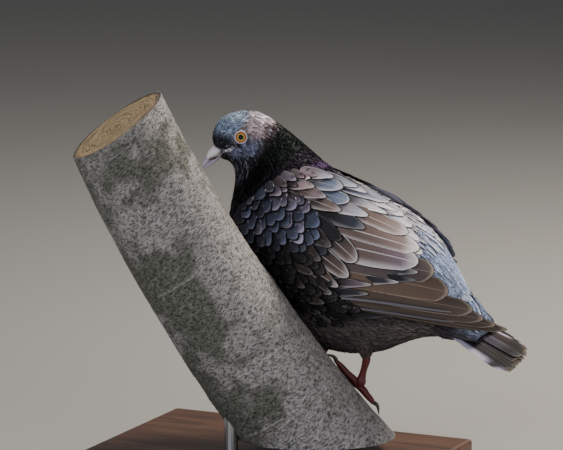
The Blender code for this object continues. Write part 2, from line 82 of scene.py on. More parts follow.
def spline(rows, t):
    """Catmull-Rom curve through rows, read at the fractional row numbers t."""
    rows = np.asarray(rows, float)
    ends = np.vstack([2 * rows[0] - rows[1], rows, 2 * rows[-1] - rows[-2]])
    i = np.clip(np.floor(t).astype(int), 0, len(rows) - 2)
    f = (np.asarray(t) - i)[..., None]
    a, b, c, d = ends[i], ends[i + 1], ends[i + 2], ends[i + 3]
    return 0.5 * (2 * b + (c - a) * f + (2 * a - 5 * b + 4 * c - d) * f ** 2
                  + (3 * b - a - 3 * c + d) * f ** 3)


# %% [markdown]
# ## The form under the coat
# The body is one tube through slanted rings, each hung between a point on the back and a point
# on the underside. The same rings shaped the solids, so the coat lies exactly on them. A sheet
# is such a form as a grid that can be read anywhere between its points.

# %% Body rings
BODY_STATIONS = (  # back x and z, underside x and z, half width, how far the width sits up the ring
    (-112.4, 170, -108.6, 161.6, 4.6, 0), (-113.4, 176.5, -106.6, 160.2, 8.6, 0),
    (-111, 184, -102.6, 159, 11.6, -0.05), (-105.8, 189.7, -99.8, 156.6, 13.2, -0.08),
    (-98.2, 193.2, -97.9, 153, 13.9, -0.08), (-88.8, 194.5, -97.2, 148.6, 14.4, -0.05),
    (-79.4, 193, -97.4, 143.6, 15.2, -0.05), (-71.2, 188.6, -98.2, 137.6, 16.8, -0.05),
    (-63.4, 182.6, -99.4, 130.5, 19.6, -0.05), (-55.6, 176.2, -100.8, 122, 25.5, -0.05),
    (-46.4, 168.6, -102, 112, 33, 0), (-34, 158.6, -102.6, 99, 39.5, 0.05),
    (-17, 149, -100.6, 82, 42.5, 0.08), (0, 141.5, -92, 64, 43.5, 0.12),
    (15, 135, -74.5, 45.3, 43, 0.13), (27.5, 129.5, -51, 32.2, 41.5, 0.11),
    (38.5, 123.5, -27, 26, 40.5, 0.06), (49, 115.5, -4, 24.5, 37, 0.04),
    (58.5, 106, 16, 28, 32.5, 0), (67, 94.5, 33, 35.5, 27, 0),
    (75, 81.5, 49, 41, 22, 0), (82.5, 69, 64, 43, 16.5, 0),
)
HEAD_END, NECK_END = 7.0, 11.0
HEAD_TURN, HEAD_PIVOT = radians(25.0), -66.0


def turn_head(points, share=1.0):
    """Turn points about the upright line through the neck by a share of the head's turn."""
    points = np.asarray(points, float)
    angle = HEAD_TURN * np.asarray(share, float)
    ahead, side = points[..., 0] - HEAD_PIVOT, points[..., 1]
    return xyz(HEAD_PIVOT + ahead * np.cos(angle) - side * np.sin(angle),
               ahead * np.sin(angle) + side * np.cos(angle), points[..., 2])


def ring_point(station, angle):
    """The chord's share is (1 + cos angle)/2 and the width sin angle. Returns point, width's lean."""
    bx, bz, ux, uz, half, waist = np.moveaxis(spline(BODY_STATIONS, station), -1, 0)
    share = (1 + np.cos(angle)) / 2
    return xyz(ux + (bx - ux) * share, half * np.sin(angle), uz + (bz - uz) * share), waist


def unturned(station, angle):
    """The ring point with the head looking straight ahead, where its markings are laid out."""
    return ring_point(station, angle)[0]


def body_point(station, angle):
    """The ring point, wider above or below the middle by its lean, with the head turned."""
    ring, waist = ring_point(station, angle)
    ring[..., 1] *= 1 + waist * np.cos(angle)
    return turn_head(ring, 1 - smooth(HEAD_END, NECK_END, station))


print("bill end of the body", body_point(0.0, 0.0).round(1), "tail end", body_point(21.0, 0.0).round(1))

# %% Sheets
STATION_STEPS, BODY_ANGLES = 8, 144


def across_sheet(points, wrap):
    """Central differences along the columns, which close into a ring when wrap is true."""
    return (np.roll(points, -1, 1) - np.roll(points, 1, 1)) / 2 if wrap else np.gradient(points, axis=1)


def make_sheet(points, wrap, outward=1.0):
    """A grid of points and its normals, read by bilinear weights at fractional rows and columns."""
    normals = unit(np.cross(np.gradient(points, axis=0), across_sheet(points, wrap))) * outward
    rows, columns = points.shape[:2]

    def read(u, v):
        u = np.clip(u, 0, rows - 1.001)
        v = np.mod(v, columns) if wrap else np.clip(v, 0, columns - 1.001)
        i, j = np.floor(u).astype(int), np.floor(v).astype(int)
        fu, fv = (u - i)[..., None], (v - j)[..., None]
        k = (j + 1) % columns if wrap else j + 1
        weights = ((i, j, (1 - fu) * (1 - fv)), (i + 1, j, fu * (1 - fv)),
                   (i, k, (1 - fu) * fv), (i + 1, k, fu * fv))
        return (sum(points[a, b] * w for a, b, w in weights),
                unit(sum(normals[a, b] * w for a, b, w in weights)))

    return {"read": read, "points": points, "wrap": wrap}


stations = np.linspace(0, len(BODY_STATIONS) - 1, (len(BODY_STATIONS) - 1) * STATION_STEPS + 1)
angles = np.arange(BODY_ANGLES) * 2 * pi / BODY_ANGLES
body = make_sheet(body_point(*np.meshgrid(stations, angles, indexing="ij")), True)
print("body sheet", body["points"].shape, "normal on its left side",
      body["read"](np.array([100.0]), np.array([108.0]))[1].round(2))

# %% [markdown]
# The folded wing is drawn on a chart: a plane that leans out over the bird's side, with one axis
# towards the tail and the other up the slope. The height of the wing over that plane is read from
# dense samples of the arm, the body and the long feathers, then softened, as coverts bridge gaps.

# %% Wing chart
WING_STATIONS = (  # upper edge, lower edge, bulge between them
    (-86, -29, 125, -87, -31, 114, 5), (-76, -22, 142, -84, -35, 93, 13),
    (-55, -13, 155, -71, -36, 80, 22), (-29, -10, 155.5, -50, -37.5, 69.5, 26),
    (-3, -9, 147.5, -27, -38.5, 61, 27), (20, -10, 137.5, 0, -39, 56, 26),
    (38, -13, 127, 27, -38, 56, 21), (50, -19, 116, 47, -36, 62, 14),
    (56.5, -25, 106, 58, -33, 84, 5),
)
FLIGHT_FEATHERS = (  # root y and z, tip, half width
    (-34, 97, 67, -23.5, 91, 11), (-35.5, 90, 77, -25.5, 79, 12), (-36.5, 82, 95, -27, 67.5, 10.5),
    (-37.2, 75, 103, -28, 62, 8.5), (-37.6, 70, 112, -28.5, 58, 7), (-37.9, 67, 121, -28.3, 54.5, 5.5),
    (-38.2, 65, 100, -30, 56, 6), (-38.3, 64, 110, -29.3, 54.5, 5),
)
FLIGHT_ROOT_X = 4.0
BULGE_WAY = unit([0.0, -0.9, 0.43])
LEAN_COS, LEAN_SIN = cos(radians(25.5)), sin(radians(25.5))
CHART_X, CHART_Q = (-102.0, 138.0), (14.0, 150.0)


def arm_point(station, run):
    """Outer face of the wing: the chord from upper to lower edge, bulged by sin(pi run)^0.8."""
    row = spline(WING_STATIONS, station)
    upper, lower, bulge = row[..., :3], row[..., 3:6], row[..., 6:]
    return (upper + run[..., None] * (lower - upper)
            + bulge * (np.sin(pi * run) ** 0.8)[..., None] * BULGE_WAY)


def to_chart(p):
    """Bird point on the left to chart x, height up the slope q, and distance o out of the chart."""
    side = -p[..., 1]
    return p[..., 0], LEAN_COS * p[..., 2] - LEAN_SIN * side, LEAN_COS * side + LEAN_SIN * p[..., 2]


def from_chart(x, q, o):
    """Back from the chart: turn by the lean again."""
    return xyz(x, -(LEAN_COS * o - LEAN_SIN * q), LEAN_SIN * o + LEAN_COS * q)


def blur(field, times):
    """Repeated weights 1, 2, 1 along both axes, with edges repeated."""
    for _ in range(times):
        f = np.pad(field, 1, mode="edge")
        f = (f[:-2] + 2 * f[1:-1] + f[2:]) / 4
        field = (f[:, :-2] + 2 * f[:, 1:-1] + f[:, 2:]) / 4
    return field


def wing_samples():
    """Dense points on the arm, on the body's left half, and along the straight flight feathers."""
    s, r = np.meshgrid(np.linspace(0, 8, 900), np.linspace(0, 1, 500), indexing="ij")
    t, a = np.meshgrid(np.linspace(4, 20.8, 900), np.linspace(pi * 1.02, 1.98 * pi, 500), indexing="ij")
    table = np.array(FLIGHT_FEATHERS)
    f, g = np.linspace(0, 1, 200)[:, None, None], np.linspace(-1, 1, 40)[None, :, None]
    root = xyz(FLIGHT_ROOT_X, table[:, 0], table[:, 1])
    line = root + (table[:, 2:5] - root) * f[..., None]
    line = line + xyz(0, 0, g * table[:, 5] * (1 - 0.2 * f))
    return np.concatenate([p.reshape(-1, 3) for p in (arm_point(s, r), body_point(t, a), line)])


def chart_heights():
    """Greatest o of all samples in each square millimetre, with its holes grown from their edges.

    Dips along the bird are then filled to the chord across them, as long feathers lie taut.
    """
    x, q, o = to_chart(wing_samples())
    shape = (int(CHART_X[1] - CHART_X[0]) + 1, int(CHART_Q[1] - CHART_Q[0]) + 1)
    i, j = np.round(x - CHART_X[0]).astype(int), np.round(q - CHART_Q[0]).astype(int)
    inside = (i >= 0) & (i < shape[0]) & (j >= 0) & (j < shape[1])
    empty = -1e3
    field = np.full(shape, empty)
    np.maximum.at(field, (i[inside], j[inside]), o[inside])
    weight = (field > empty).astype(float)
    field = field * weight
    while True:
        total = blur(weight, 1)
        grown = (weight == 0) & (total > 1e-9)
        if not grown.any():
            break
        field[grown] = (blur(field * weight, 1) / np.maximum(total, 1e-12))[grown]
        weight[grown] = 1.0
    field = blur(field, 3)
    for reach in (20, 12, 7, 4, 2):
        padded = np.pad(field, ((reach, reach), (0, 0)), mode="edge")
        field = np.maximum(field, (padded[:-2 * reach] + padded[2 * reach:]) / 2)
    return blur(field, 6)


heights = chart_heights()
chart_x, chart_q = np.meshgrid(np.arange(CHART_X[0], CHART_X[1] + 1),
                               np.arange(CHART_Q[0], CHART_Q[1] + 1), indexing="ij")
wing = make_sheet(from_chart(chart_x, chart_q, heights), False)
print("wing chart", heights.shape, "greatest height", heights.max().round(1))

# %% [markdown]
# The left wing lies as charted. The right one is its mirror image, hanging a little lower, so
# both are drawn on one chart and set on their side at the end.

# %% The two sides
WING_SHOULDER = (-80.0, 122.0)
WING_DROOP = {"left": 0.0, "right": radians(2.3)}
FLIGHT_DROOP = {"left": 0.0, "right": radians(6.5)}


def hang_wing(laid, side, droop):
    """Left-wing points on their side: mirrored for the right one, then drooped about the shoulder."""
    hung = []
    for p in laid:
        ahead, above = p[..., 0] - WING_SHOULDER[0], p[..., 2] - WING_SHOULDER[1]
        hung.append(xyz(WING_SHOULDER[0] + ahead * cos(droop) + above * sin(droop),
                        p[..., 1] * (-1 if side == "right" else 1),
                        WING_SHOULDER[1] - ahead * sin(droop) + above * cos(droop)))
    return hung


print("right wing hangs", round(float(np.degrees(WING_DROOP["right"])), 1), "degrees")

# %% [markdown]
# ## Feathers
# A contour feather is a thin vane with a rounded end. Each one here is a small closed lens of a
# few dozen faces whose points are read from the sheet it lies on, so it follows every curve, and
# it rises a little towards its tip so that the next one slips under it. All feathers of a tract
# are worked out at once as arrays.

# %% Laying feathers
EVEN_STEPS = (0.7548776662466927, 0.5698402909980532)  # 1/g and 1/g^2, where g^3 = g + 1


def measured(value, *at):
    """A plain number, or what a function gives at a place."""
    return value(*at) if callable(value) else value


def spread(sheet, low, high, spacing):
    """Even places on a sheet: a sequence without clumps pushed through the area's running sums.

    spacing is the distance between neighbours in millimetres. Returns u, v.
    """
    points = sheet["points"][low:high]
    face = np.cross(np.gradient(points, axis=0), across_sheet(points, sheet["wrap"]))
    area = np.linalg.norm(face, axis=-1) / measured(spacing, points) ** 2
    k = np.arange(1, int(area.sum()) + 1)
    a, b = (np.mod(0.5 + k * step, 1) for step in EVEN_STEPS)
    rows = np.concatenate([[0], np.cumsum(area.sum(1))])
    u = np.interp(a * rows[-1], rows, np.arange(len(rows))) - 0.5
    u = np.clip(u, 0, len(points) - 1.001)
    columns = np.concatenate([np.zeros((len(points), 1)), np.cumsum(area, 1)], 1)
    columns /= np.maximum(columns[:, -1:], 1e-9)
    here = columns[np.round(u).astype(int)]
    j = np.clip((here < b[:, None]).sum(1) - 1, 0, area.shape[1] - 1)
    lower, upper = (np.take_along_axis(here, j[:, None] + step, 1)[:, 0] for step in (0, 1))
    return u + low, j + (b - lower) / np.maximum(upper - lower, 1e-12) - 0.5


def lay(sheet, u, v, length, width, turn, lift, rows=5, columns=3, blunt=0.35, waist=0.55,
        camber=0.12, roll=0.0, thick=0.25, ragged=0.0):
    """Feathers rooted at u, v. Across is b in -1..1, along is a in 0..1.

    Along the vane a point lies at length (a - blunt b^2 a^3), which rounds the end, and its half
    width is waist + (1 - waist) sin(pi a^0.7) of the full one. It rises from lift[0] to lift[1]
    and falls off to the edges by camber width b^2. Returns tops and undersides (n, rows, columns, 3).
    """
    each = [np.broadcast_to(np.asarray(x, float), len(u))[:, None, None]
            for x in (length, width, turn, *lift, blunt, waist)]
    length, width, turn, low, high, blunt, waist = each
    a, b = np.linspace(0, 1, rows)[None, :, None], np.linspace(-1, 1, columns)[None, None, :]
    steps = []
    for du, dv in ((0.5, 0), (0, 0.5)):
        step = np.linalg.norm(sheet["read"](u + du, v + dv)[0] - sheet["read"](u - du, v - dv)[0], axis=-1)
        steps.append(np.maximum(step, 0.15)[:, None, None])
    along = length * (a - blunt * b ** 2 * a ** 3)
    if ragged:
        along = along + ragged * length * a ** 2 * (rng.random((len(u), 1, columns)) - 0.5)
    across = width / 2 * (waist + (1 - waist) * np.sin(pi * a ** 0.7)) * b
    uu = u[:, None, None] + (along * np.cos(turn) - across * np.sin(turn)) / steps[0]
    vv = v[:, None, None] + (along * np.sin(turn) + across * np.cos(turn)) / steps[1]
    points, normals = sheet["read"](uu, vv)
    height = low + (high - low) * a ** 1.3 - camber * width * b ** 2 + roll * b
    belly = thick * (1 - b ** 2) * np.sin(pi * a) ** 0.5
    return points + normals * height[..., None], points + normals * (height - belly)[..., None]


def lay_pair(sheet, u, v, length, width, turn, lift, gap, wider=1.0, **shape):
    """Each feather twice: first one just under it, longer by 0.45 gap and wider by wider gap."""
    low, high = lift
    under = lay(sheet, u, v, length + 0.45 * gap, width + wider * gap, turn, (low - 0.12, high - 0.16),
                **shape)
    over = lay(sheet, u, v, length, width, turn, lift, **shape)
    return [np.concatenate(pair) for pair in zip(under, over)]


print("places 5 mm apart on the body", len(spread(body, 0, len(stations), 5.0)[0]))

# %% [markdown]
# Meshes are built from whole arrays. A tract of feathers becomes one object: every lens shares
# the same few faces, and carries the colour of each of its points, a Trim that weighs margin,
# shaft and tip blaze, a Vane map across and along it, and a patch of the map for baking.

# %% Meshes and coats
def lens_faces(rows, columns):
    """Quads of one lens: the top grid, and an underside that shares its rim. Returns faces, inner mask."""
    top = np.arange(rows * columns).reshape(rows, columns)
    inner = np.zeros((rows, columns), bool)
    inner[1:-1, 1:-1] = True
    under = top.copy()
    under[inner] = rows * columns + np.arange(inner.sum())
    quads = [np.stack([grid[:-1, :-1], grid[:-1, 1:], grid[1:, 1:], grid[1:, :-1]], -1).reshape(-1, 4)
             for grid in (top, under)]
    return np.concatenate([quads[0], quads[1][:, ::-1]]), inner


def new_object(name, mesh, material, nodes=()):
    """Link a mesh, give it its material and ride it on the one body."""
    obj = bpy.data.objects.new(name, mesh)
    bpy.context.scene.collection.objects.link(obj)
    mesh.materials.append(material)
    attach(obj, "root")
    if nodes:
        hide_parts(*nodes)
    return obj


def build_mesh(name, points, faces, sharp=180):
    """A smooth-shaded mesh from points in metres and faces of one size, creased past an angle."""
    mesh = bpy.data.meshes.new(name)
    faces = np.ascontiguousarray(faces, dtype=np.int32)
    count, size = faces.shape
    mesh.vertices.add(len(points))
    mesh.vertices.foreach_set("co", np.ascontiguousarray(points, dtype=np.float32).ravel())
    mesh.loops.add(count * size)
    mesh.loops.foreach_set("vertex_index", faces.ravel())
    mesh.polygons.add(count)
    mesh.polygons.foreach_set("loop_start", np.arange(count, dtype=np.int32) * size)
    mesh.polygons.foreach_set("use_smooth", np.ones(count, bool))
    mesh.update(calc_edges=True)
    mesh.validate()
    if sharp < 180:
        mesh.set_sharp_from_angle(angle=radians(sharp))
    return mesh


def paint(mesh, name, colours):
    """Store a linear colour at each point."""
    layer = mesh.color_attributes.new(name, "FLOAT_COLOR", "POINT")
    rgb = np.ones((len(mesh.vertices), 4), np.float32)
    rgb[:, :3] = colours
    layer.data.foreach_set("color", rgb.ravel())


def add_uv(mesh, name, uv):
    """Store a UV for each face corner."""
    mesh.uv_layers.new(name=name).data.foreach_set("uv", np.ascontiguousarray(uv, np.float32).ravel())


def coat(name, laid, tint, trim, home, patch, material, nodes=(), split=False):
    """One piece of coat from the tops and undersides of its feathers.

    tint and trim are colours for each feather (n, 3) or for its points (n, rows, columns, 3). Twice
    as many feathers as trims are pairs, whose under ones come first and have no trim. home is where
    each feather's patch, patch across, lies on the unwrap; split sets its two faces side by side.
    """
    tops, unders = laid
    n, rows, columns = tops.shape[:3]
    quads, inner = lens_faces(rows, columns)
    points = np.concatenate([tops.reshape(n, -1, 3), unders[:, inner]], 1)
    per = points.shape[1]
    a, b = np.meshgrid(np.linspace(0, 1, rows), np.linspace(0, 1, columns), indexing="ij")
    grid = np.stack([b, a], -1)
    vane = np.concatenate([grid.reshape(-1, 2), grid[inner]])
    corners = points[:, quads]
    face = np.cross(corners[:, :, 2] - corners[:, :, 0], corners[:, :, 3] - corners[:, :, 1])
    if np.einsum("nfk,nfk->", corners.mean(2) - points.mean(1, keepdims=True), face) < 0:
        quads = quads[:, ::-1]
    faces = (quads[None] + np.arange(n)[:, None, None] * per).reshape(-1, 4)
    mesh = build_mesh(name, place(points.reshape(-1, 3)), faces, 50)
    trim = np.asarray(trim, float)
    if len(trim) < n:
        trim, home = np.concatenate([0 * trim, trim]), np.resize(home, (n, 2))
    for layer, colour in (("Tint", tint), ("Trim", trim)):
        full = np.broadcast_to(colour if colour.ndim == 4 else colour[:, None, None], tops.shape)
        paint(mesh, layer, np.concatenate([full.reshape(n, -1, 3), full[:, inner]], 1).reshape(-1, 3))
    vane = vane[quads]
    add_uv(mesh, "Vane", np.broadcast_to(vane, (n,) + vane.shape))
    patches = (vane - 0.5) * patch
    if split:
        shift = np.where(np.arange(len(quads)) < len(quads) // 2, -0.25, 0.25) * patch
        patches = patches * [0.46, 1.0] + np.stack([shift, 0 * shift], -1)[:, None]
    add_uv(mesh, "OFBake", home[:, None, None, :] + patches[None])
    print(name, n, "feathers", n * len(quads) * 2, "triangles")
    return new_object(name, mesh, material, nodes)


print("a small feather has", len(lens_faces(5, 3)[0]), "faces")

# %% [markdown]
# ## Colours of the coat
# The bird is a chequered feral type: pale blue-grey head, dark neck with a green and purple
# gloss, lilac and blue-grey shoulders, brown wings with pale margins, a whitish rump and a slate
# tail. One function gives the colour at any place on the body, and both the skin and the coat
# read it, so that nothing of another colour shows between feathers.

# %% Colours and masks
def srgb(code):
    """A hex colour to linear: c/12.92 below 0.04045, else ((c + 0.055)/1.055)^2.4."""
    c = np.array([int(code[i:i + 2], 16) for i in (0, 2, 4)]) / 255.0
    return np.where(c < 0.04045, c / 12.92, ((c + 0.055) / 1.055) ** 2.4)


def mix(under, over, mask):
    """under (1 - mask) + over mask, where either colour may be a hex code."""
    under, over = (srgb(c) if isinstance(c, str) else c for c in (under, over))
    mask = np.asarray(mask)[..., None]
    return under * (1 - mask) + over * mask


def layered(colour, *marks):
    """Lay each further colour over the last by its mask."""
    for over, mask in marks:
        colour = mix(colour, over, mask)
    return colour


def band(low, high, x, soft):
    """One between low and high, falling to zero over soft either side."""
    return smooth(low - soft, low + soft, x) * (1 - smooth(high - soft, high + soft, x))


print("mid grey in linear light", srgb("808080").round(3))

# %% [markdown]
# Each marking is a colour with a mask worked out from the place, laid over the last: the crown,
# the face, the dark line before the eye, the glossed neck, the pale mantle and rump. Painting by
# hand would be quicker to start and slower to change; a table of masks can be read and tuned.

# %% Markings of the body
EYE = np.array([-93.3, 8.6, 177.2])
CERE_BED = np.array([-110.2, 165.2])
# painted shade: the near-black of the twins laid under feathers, which shows as the shadow in the gaps
GAP_SHADE_COLOUR = srgb("0b0a0c")


def plumage(station, angle, flat):
    """Colour from the ring number, the angle round it (cosine 1 on the back) and the unturned place."""
    x, y, z = np.moveaxis(flat, -1, 0)
    back = np.cos(angle)
    rose = smooth(-2.5, 3.0, x + 97 - 0.6 * (z - 180))
    gape = z - 166.0 - 0.58 * (x + 106.7)
    streaks = smooth(0.1, 0.8, np.sin(2.1 * z + 1.3 * x)) * band(143, 161, z, 3.0) * band(-100, -84, x, 3.0)
    neck = smooth(6.4, 7.5, station + 0.3 * (1 - back))
    return layered(
        "70778e",
        # crown, nape and face
        ("9aabc3", smooth(175, 182, z) * smooth(-90, -98, x)),
        ("c3d3e2", smooth(184, 191, z) * smooth(-88, -96, x)),
        ("b59fa2", rose * smooth(173, 179, z - 0.35 * (x + 90))),
        ("d8c9cc", rose * smooth(181, 190, z)),
        ("7d6869", smooth(-84, -76, x) * band(168, 189, z, 3.0)),
        ("17161e", smooth(-98.0, -105, x) * band(150, 176.5, z, 3.0) * 0.93),
        # gape line, eye line, chin and throat
        ("e4e0ea", band(-0.9, 1.5, gape, 0.7) * band(-109, -100.5, x, 1.2)),
        ("8d8aa8", band(-3.0, 0.6, gape, 1.4) * band(-102, -92, x, 3.0) * 0.6),
        ("0d0c10", band(170.6, 173.0, z + 0.12 * (x + 98), 0.9) * band(-102.5, -94.0, x, 1.5)),
        ("0d0c10", band(177.6, 179.0, z + 0.9 * (x + 88.0), 0.7) * band(-89.5, -86.5, x, 0.9) * 0.8),
        ("15141a", smooth(164.5, 161.0, z - 0.2 * (x + 100)) * smooth(8.4, 6.6, station)),
        ("8d8498", streaks * 0.7),
        # neck and breast
        ("1c181b", neck),
        ("16201c", neck * band(7.6, 9.6, station, 0.8) * smooth(0.0, 0.7, back)),
        ("4e4350", neck * smooth(-0.3, -0.8, back) * band(7.5, 10.5, station, 1.0) * 0.7),
        ("43384a", smooth(8.8, 10.2, station) * smooth(0.5, -0.2, back)),
        ("241c28", band(9.7, 11.2, station, 0.3) * smooth(0.3, 0.6, back)),
        ("7a5f86", band(10.65, 11.0, station, 0.18) * smooth(0.88, 0.96, back) * 0.85),
        # mantle, belly, rump and vent
        ("a9a2ac", smooth(11.0, 11.9, station) * smooth(-0.1, 0.35, back)),
        ("38343b", smooth(11.0, 12.5, station) * smooth(0.1, -0.35, back)),
        ("57504d", smooth(13.0, 15.5, station) * smooth(0.0, -0.5, back)),
        ("b9c6de", smooth(14.4, 16.0, station) * smooth(-0.3, 0.2, back)),
        ("6e6763", smooth(17.0, 19.0, station) * smooth(-0.1, -0.5, back)))


net = np.meshgrid(np.linspace(0, 21, 64), np.arange(36) * pi / 18, indexing="ij")
net_s, net_a = (part.ravel() for part in net)
net_points = body_point(net_s, net_a)


def marks_at(points):
    """Markings at loose bird-frame points: those of the nearest of a coarse net of ring points."""
    nearest = np.concatenate([((chunk[:, None] - net_points[None]) ** 2).sum(-1).argmin(1)
                              for chunk in np.array_split(points, 40)])
    s, a = net_s[nearest], net_a[nearest]
    return plumage(s, a, unturned(s, a))


print("crown colour", marks_at(np.array([[-98.0, 0.0, 193.0]])).round(2))

# %% [markdown]
# ## Materials of the coat
# A vane is a comb of barbs hooked together on a shaft. It is soft and scatters light, so it is
# rough with a low sheen. The barbs run slantwise from the shaft; the shaft is a thin pale line,
# and many feathers have a worn pale margin. All three are drawn from the feather's own UV map,
# because an image of a feather would repeat and could not follow each vane's size.

# %% Helpers for nodes
def rgba(code):
    """A hex colour as a linear colour with alpha one."""
    return (*srgb(code), 1.0)


def plug(node, inputs):
    """Set each input to a value, or link it to a socket or to another node's first output.

    inputs are given by name in a dictionary, or in the order of the node's own sockets.
    """
    for key, value in (inputs.items() if isinstance(inputs, dict) else enumerate(inputs)):
        if isinstance(value, bpy.types.Node):
            value = value.outputs[0]
        if isinstance(value, bpy.types.NodeSocket):
            node.id_data.links.new(value, node.inputs[key])
        else:
            node.inputs[key].default_value = value


def add(shader, kind, inputs=(), **settings):
    """Add a node to the shader's tree, with its settings and its inputs."""
    node = shader.id_data.nodes.new("ShaderNode" + kind)
    for key, value in settings.items():
        setattr(node, key, value)
    plug(node, inputs)
    return node


def new_material(name, roughness, **sockets):
    """A Principled material with its constants on its own sockets. Returns material, shader."""
    material = bpy.data.materials.new(name)
    material.use_nodes = True
    shader = material.node_tree.nodes["Principled BSDF"]
    plug(shader, {"Roughness": roughness, **{key.replace("_", " "): value for key, value in sockets.items()}})
    return material, shader


print("materials so far", len(bpy.data.materials))

# %% Feather finish
MARGIN_SOFTNESS, TIP_SOFTNESS = 0.06, 0.03
BARB_SLANT, BARB_WEIGHT = -0.35, 0.28
MOTTLE_SCALE = 900.0  # about 1.1 mm, coarser than real barbules so that it shows


def feather_finish(name, roughness, margin, barbs, contrast, edge, shine, metallic=0.0, sheen=0.0):
    """Tint from the point colours; margin, shaft and barbs from the vane's UV, weighted by Trim.

    The margin lies past edge, the blaze on one side and at the tip; barbs is their number in a vane.
    A Map Range takes value, from min, from max, to min, to max.
    """
    material, shader = new_material(name, roughness, Metallic=metallic, Sheen_Weight=sheen,
                                    Sheen_Roughness=0.45, IOR=1.54, Specular_IOR_Level=shine)
    eased = {"interpolation_type": "SMOOTHSTEP"}
    weigh = add(shader, "SeparateColor", [add(shader, "Attribute", attribute_name="Trim")]).outputs
    across, along = add(shader, "SeparateXYZ", [add(shader, "UVMap", uv_map="Vane")]).outputs[:2]
    centred = add(shader, "Math", (across, 2.0, -1.0), operation="MULTIPLY_ADD")
    off = add(shader, "Math", [centred], operation="ABSOLUTE")
    tip = (edge + 1) / 2
    side = add(shader, "MapRange", (off, edge - MARGIN_SOFTNESS, edge + MARGIN_SOFTNESS), **eased)
    end = add(shader, "MapRange", (along, tip - TIP_SOFTNESS, tip + TIP_SOFTNESS), **eased)
    rim = add(shader, "Math", (side, end), operation="MAXIMUM")
    wide = add(shader, "MapRange", (across, 0.30, 0.0), **eased)
    last = add(shader, "MapRange", (along, 0.80, 1.0), **eased)
    blaze = add(shader, "Math", (wide, last), operation="MAXIMUM")
    shaft = add(shader, "MapRange", (off, 0.05, 0.015), **eased)
    rim, shaft, blaze = (add(shader, "Math", (mask, weight), operation="MULTIPLY")
                         for mask, weight in zip((rim, shaft, blaze), weigh))
    pale = add(shader, "Math", (rim, blaze), operation="MAXIMUM")
    slant = add(shader, "Math", (off, BARB_SLANT, along), operation="MULTIPLY_ADD")
    turns = add(shader, "Math", (slant, barbs * 2 * pi), operation="MULTIPLY")
    wave = add(shader, "Math", [turns], operation="SINE")
    mottle = add(shader, "TexNoise", {"Scale": MOTTLE_SCALE, "Detail": 3.0,
                                      "Vector": add(shader, "TexCoord").outputs["Object"]})
    comb = add(shader, "Math", (wave, BARB_WEIGHT, mottle), operation="MULTIPLY_ADD")
    shade = add(shader, "MapRange", (comb, 0.2, 0.85, 1 - contrast, 1 + contrast))
    tint = add(shader, "Attribute", attribute_name="Tint")
    colour = add(shader, "VectorMath", {0: tint, "Scale": shade}, operation="SCALE").outputs[0]
    for mask in (pale, shaft):
        colour = add(shader, "Mix", {0: mask, 6: colour, 7: rgba(margin)}, data_type="RGBA").outputs[2]
    relief = add(shader, "Bump", {"Strength": 0.25, "Distance": 0.0003, "Height": comb})
    plug(shader, {"Base Color": colour, "Normal": relief})
    return material


# loose body feathers: dull and downy, their barbs barely seen
down = feather_finish("soft_contour_feather", 0.9, "d9d4d6", 7, 0.22, edge=0.9, shine=0.2, sheen=0.1)
# neck feathers: smoother, with a faint metallic glint
gloss = feather_finish("glossed_neck_feather", 0.5, "5e6f58", 6, 0.25, edge=0.92, shine=0.3, metallic=0.08)
# coverts: closed matt vanes with a thin pale margin
vane = feather_finish("firm_covert_feather", 0.72, "e9e2df", 30, 0.14, edge=0.93, shine=0.3)
# flight and tail feathers: stiff, finely combed, with a buff worn edge
quill = feather_finish("stiff_flight_feather", 0.7, "b9a894", 70, 0.12, edge=0.955, shine=0.15)
print("feather finishes", [finish.name for finish in (down, gloss, vane, quill)])

# %% [markdown]
# ## The skin
# One closed skin stands for the head, neck, trunk, wings and thighs, so that no cut between them
# shows. It could be sewn ring to ring, but a fine voxel remesh of the merged solids joins them
# wherever they meet. It is then smoothed across the cuts and drawn in by the depth of the coat.

# %% Skin
FLESH = ("head", "neck", "trunk", "wing_left", "wing_right", "thigh_left", "thigh_right")
SKIN_VOXEL = 0.0014
COAT_DEPTH, CERE_DEPTH = 1.6, 2.4


def joined_skin():
    """Copies of the solids, merged, after a voxel remesh and a light smooth."""
    joined = bmesh.new()
    for name in FLESH:
        joined.from_mesh(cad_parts[name].data)
    bmesh.ops.remove_doubles(joined, verts=joined.verts, dist=1e-6)
    mesh = bpy.data.meshes.new("flesh")
    joined.to_mesh(mesh)
    joined.free()
    obj = bpy.data.objects.new("flesh", mesh)
    bpy.context.scene.collection.objects.link(obj)
    obj.modifiers.new("grid", "REMESH").voxel_size = SKIN_VOXEL
    soft = obj.modifiers.new("soft", "SMOOTH")
    soft.factor, soft.iterations = 0.5, 6
    done = bpy.data.meshes.new_from_object(obj.evaluated_get(bpy.context.evaluated_depsgraph_get()))
    bpy.data.objects.remove(obj)
    done.name = "skin"
    return done


def values(mesh, name):
    """A vector for each of the mesh's points, as one array."""
    flat = np.empty(len(mesh.vertices) * 3, np.float32)
    mesh.vertices.foreach_get(name, flat)
    return flat.reshape(-1, 3)


def from_cere(flat):
    """Distance from the middle of the cere's bed, seen from the side."""
    return np.hypot(flat[:, 0] - CERE_BED[0], flat[:, 2] - CERE_BED[1])


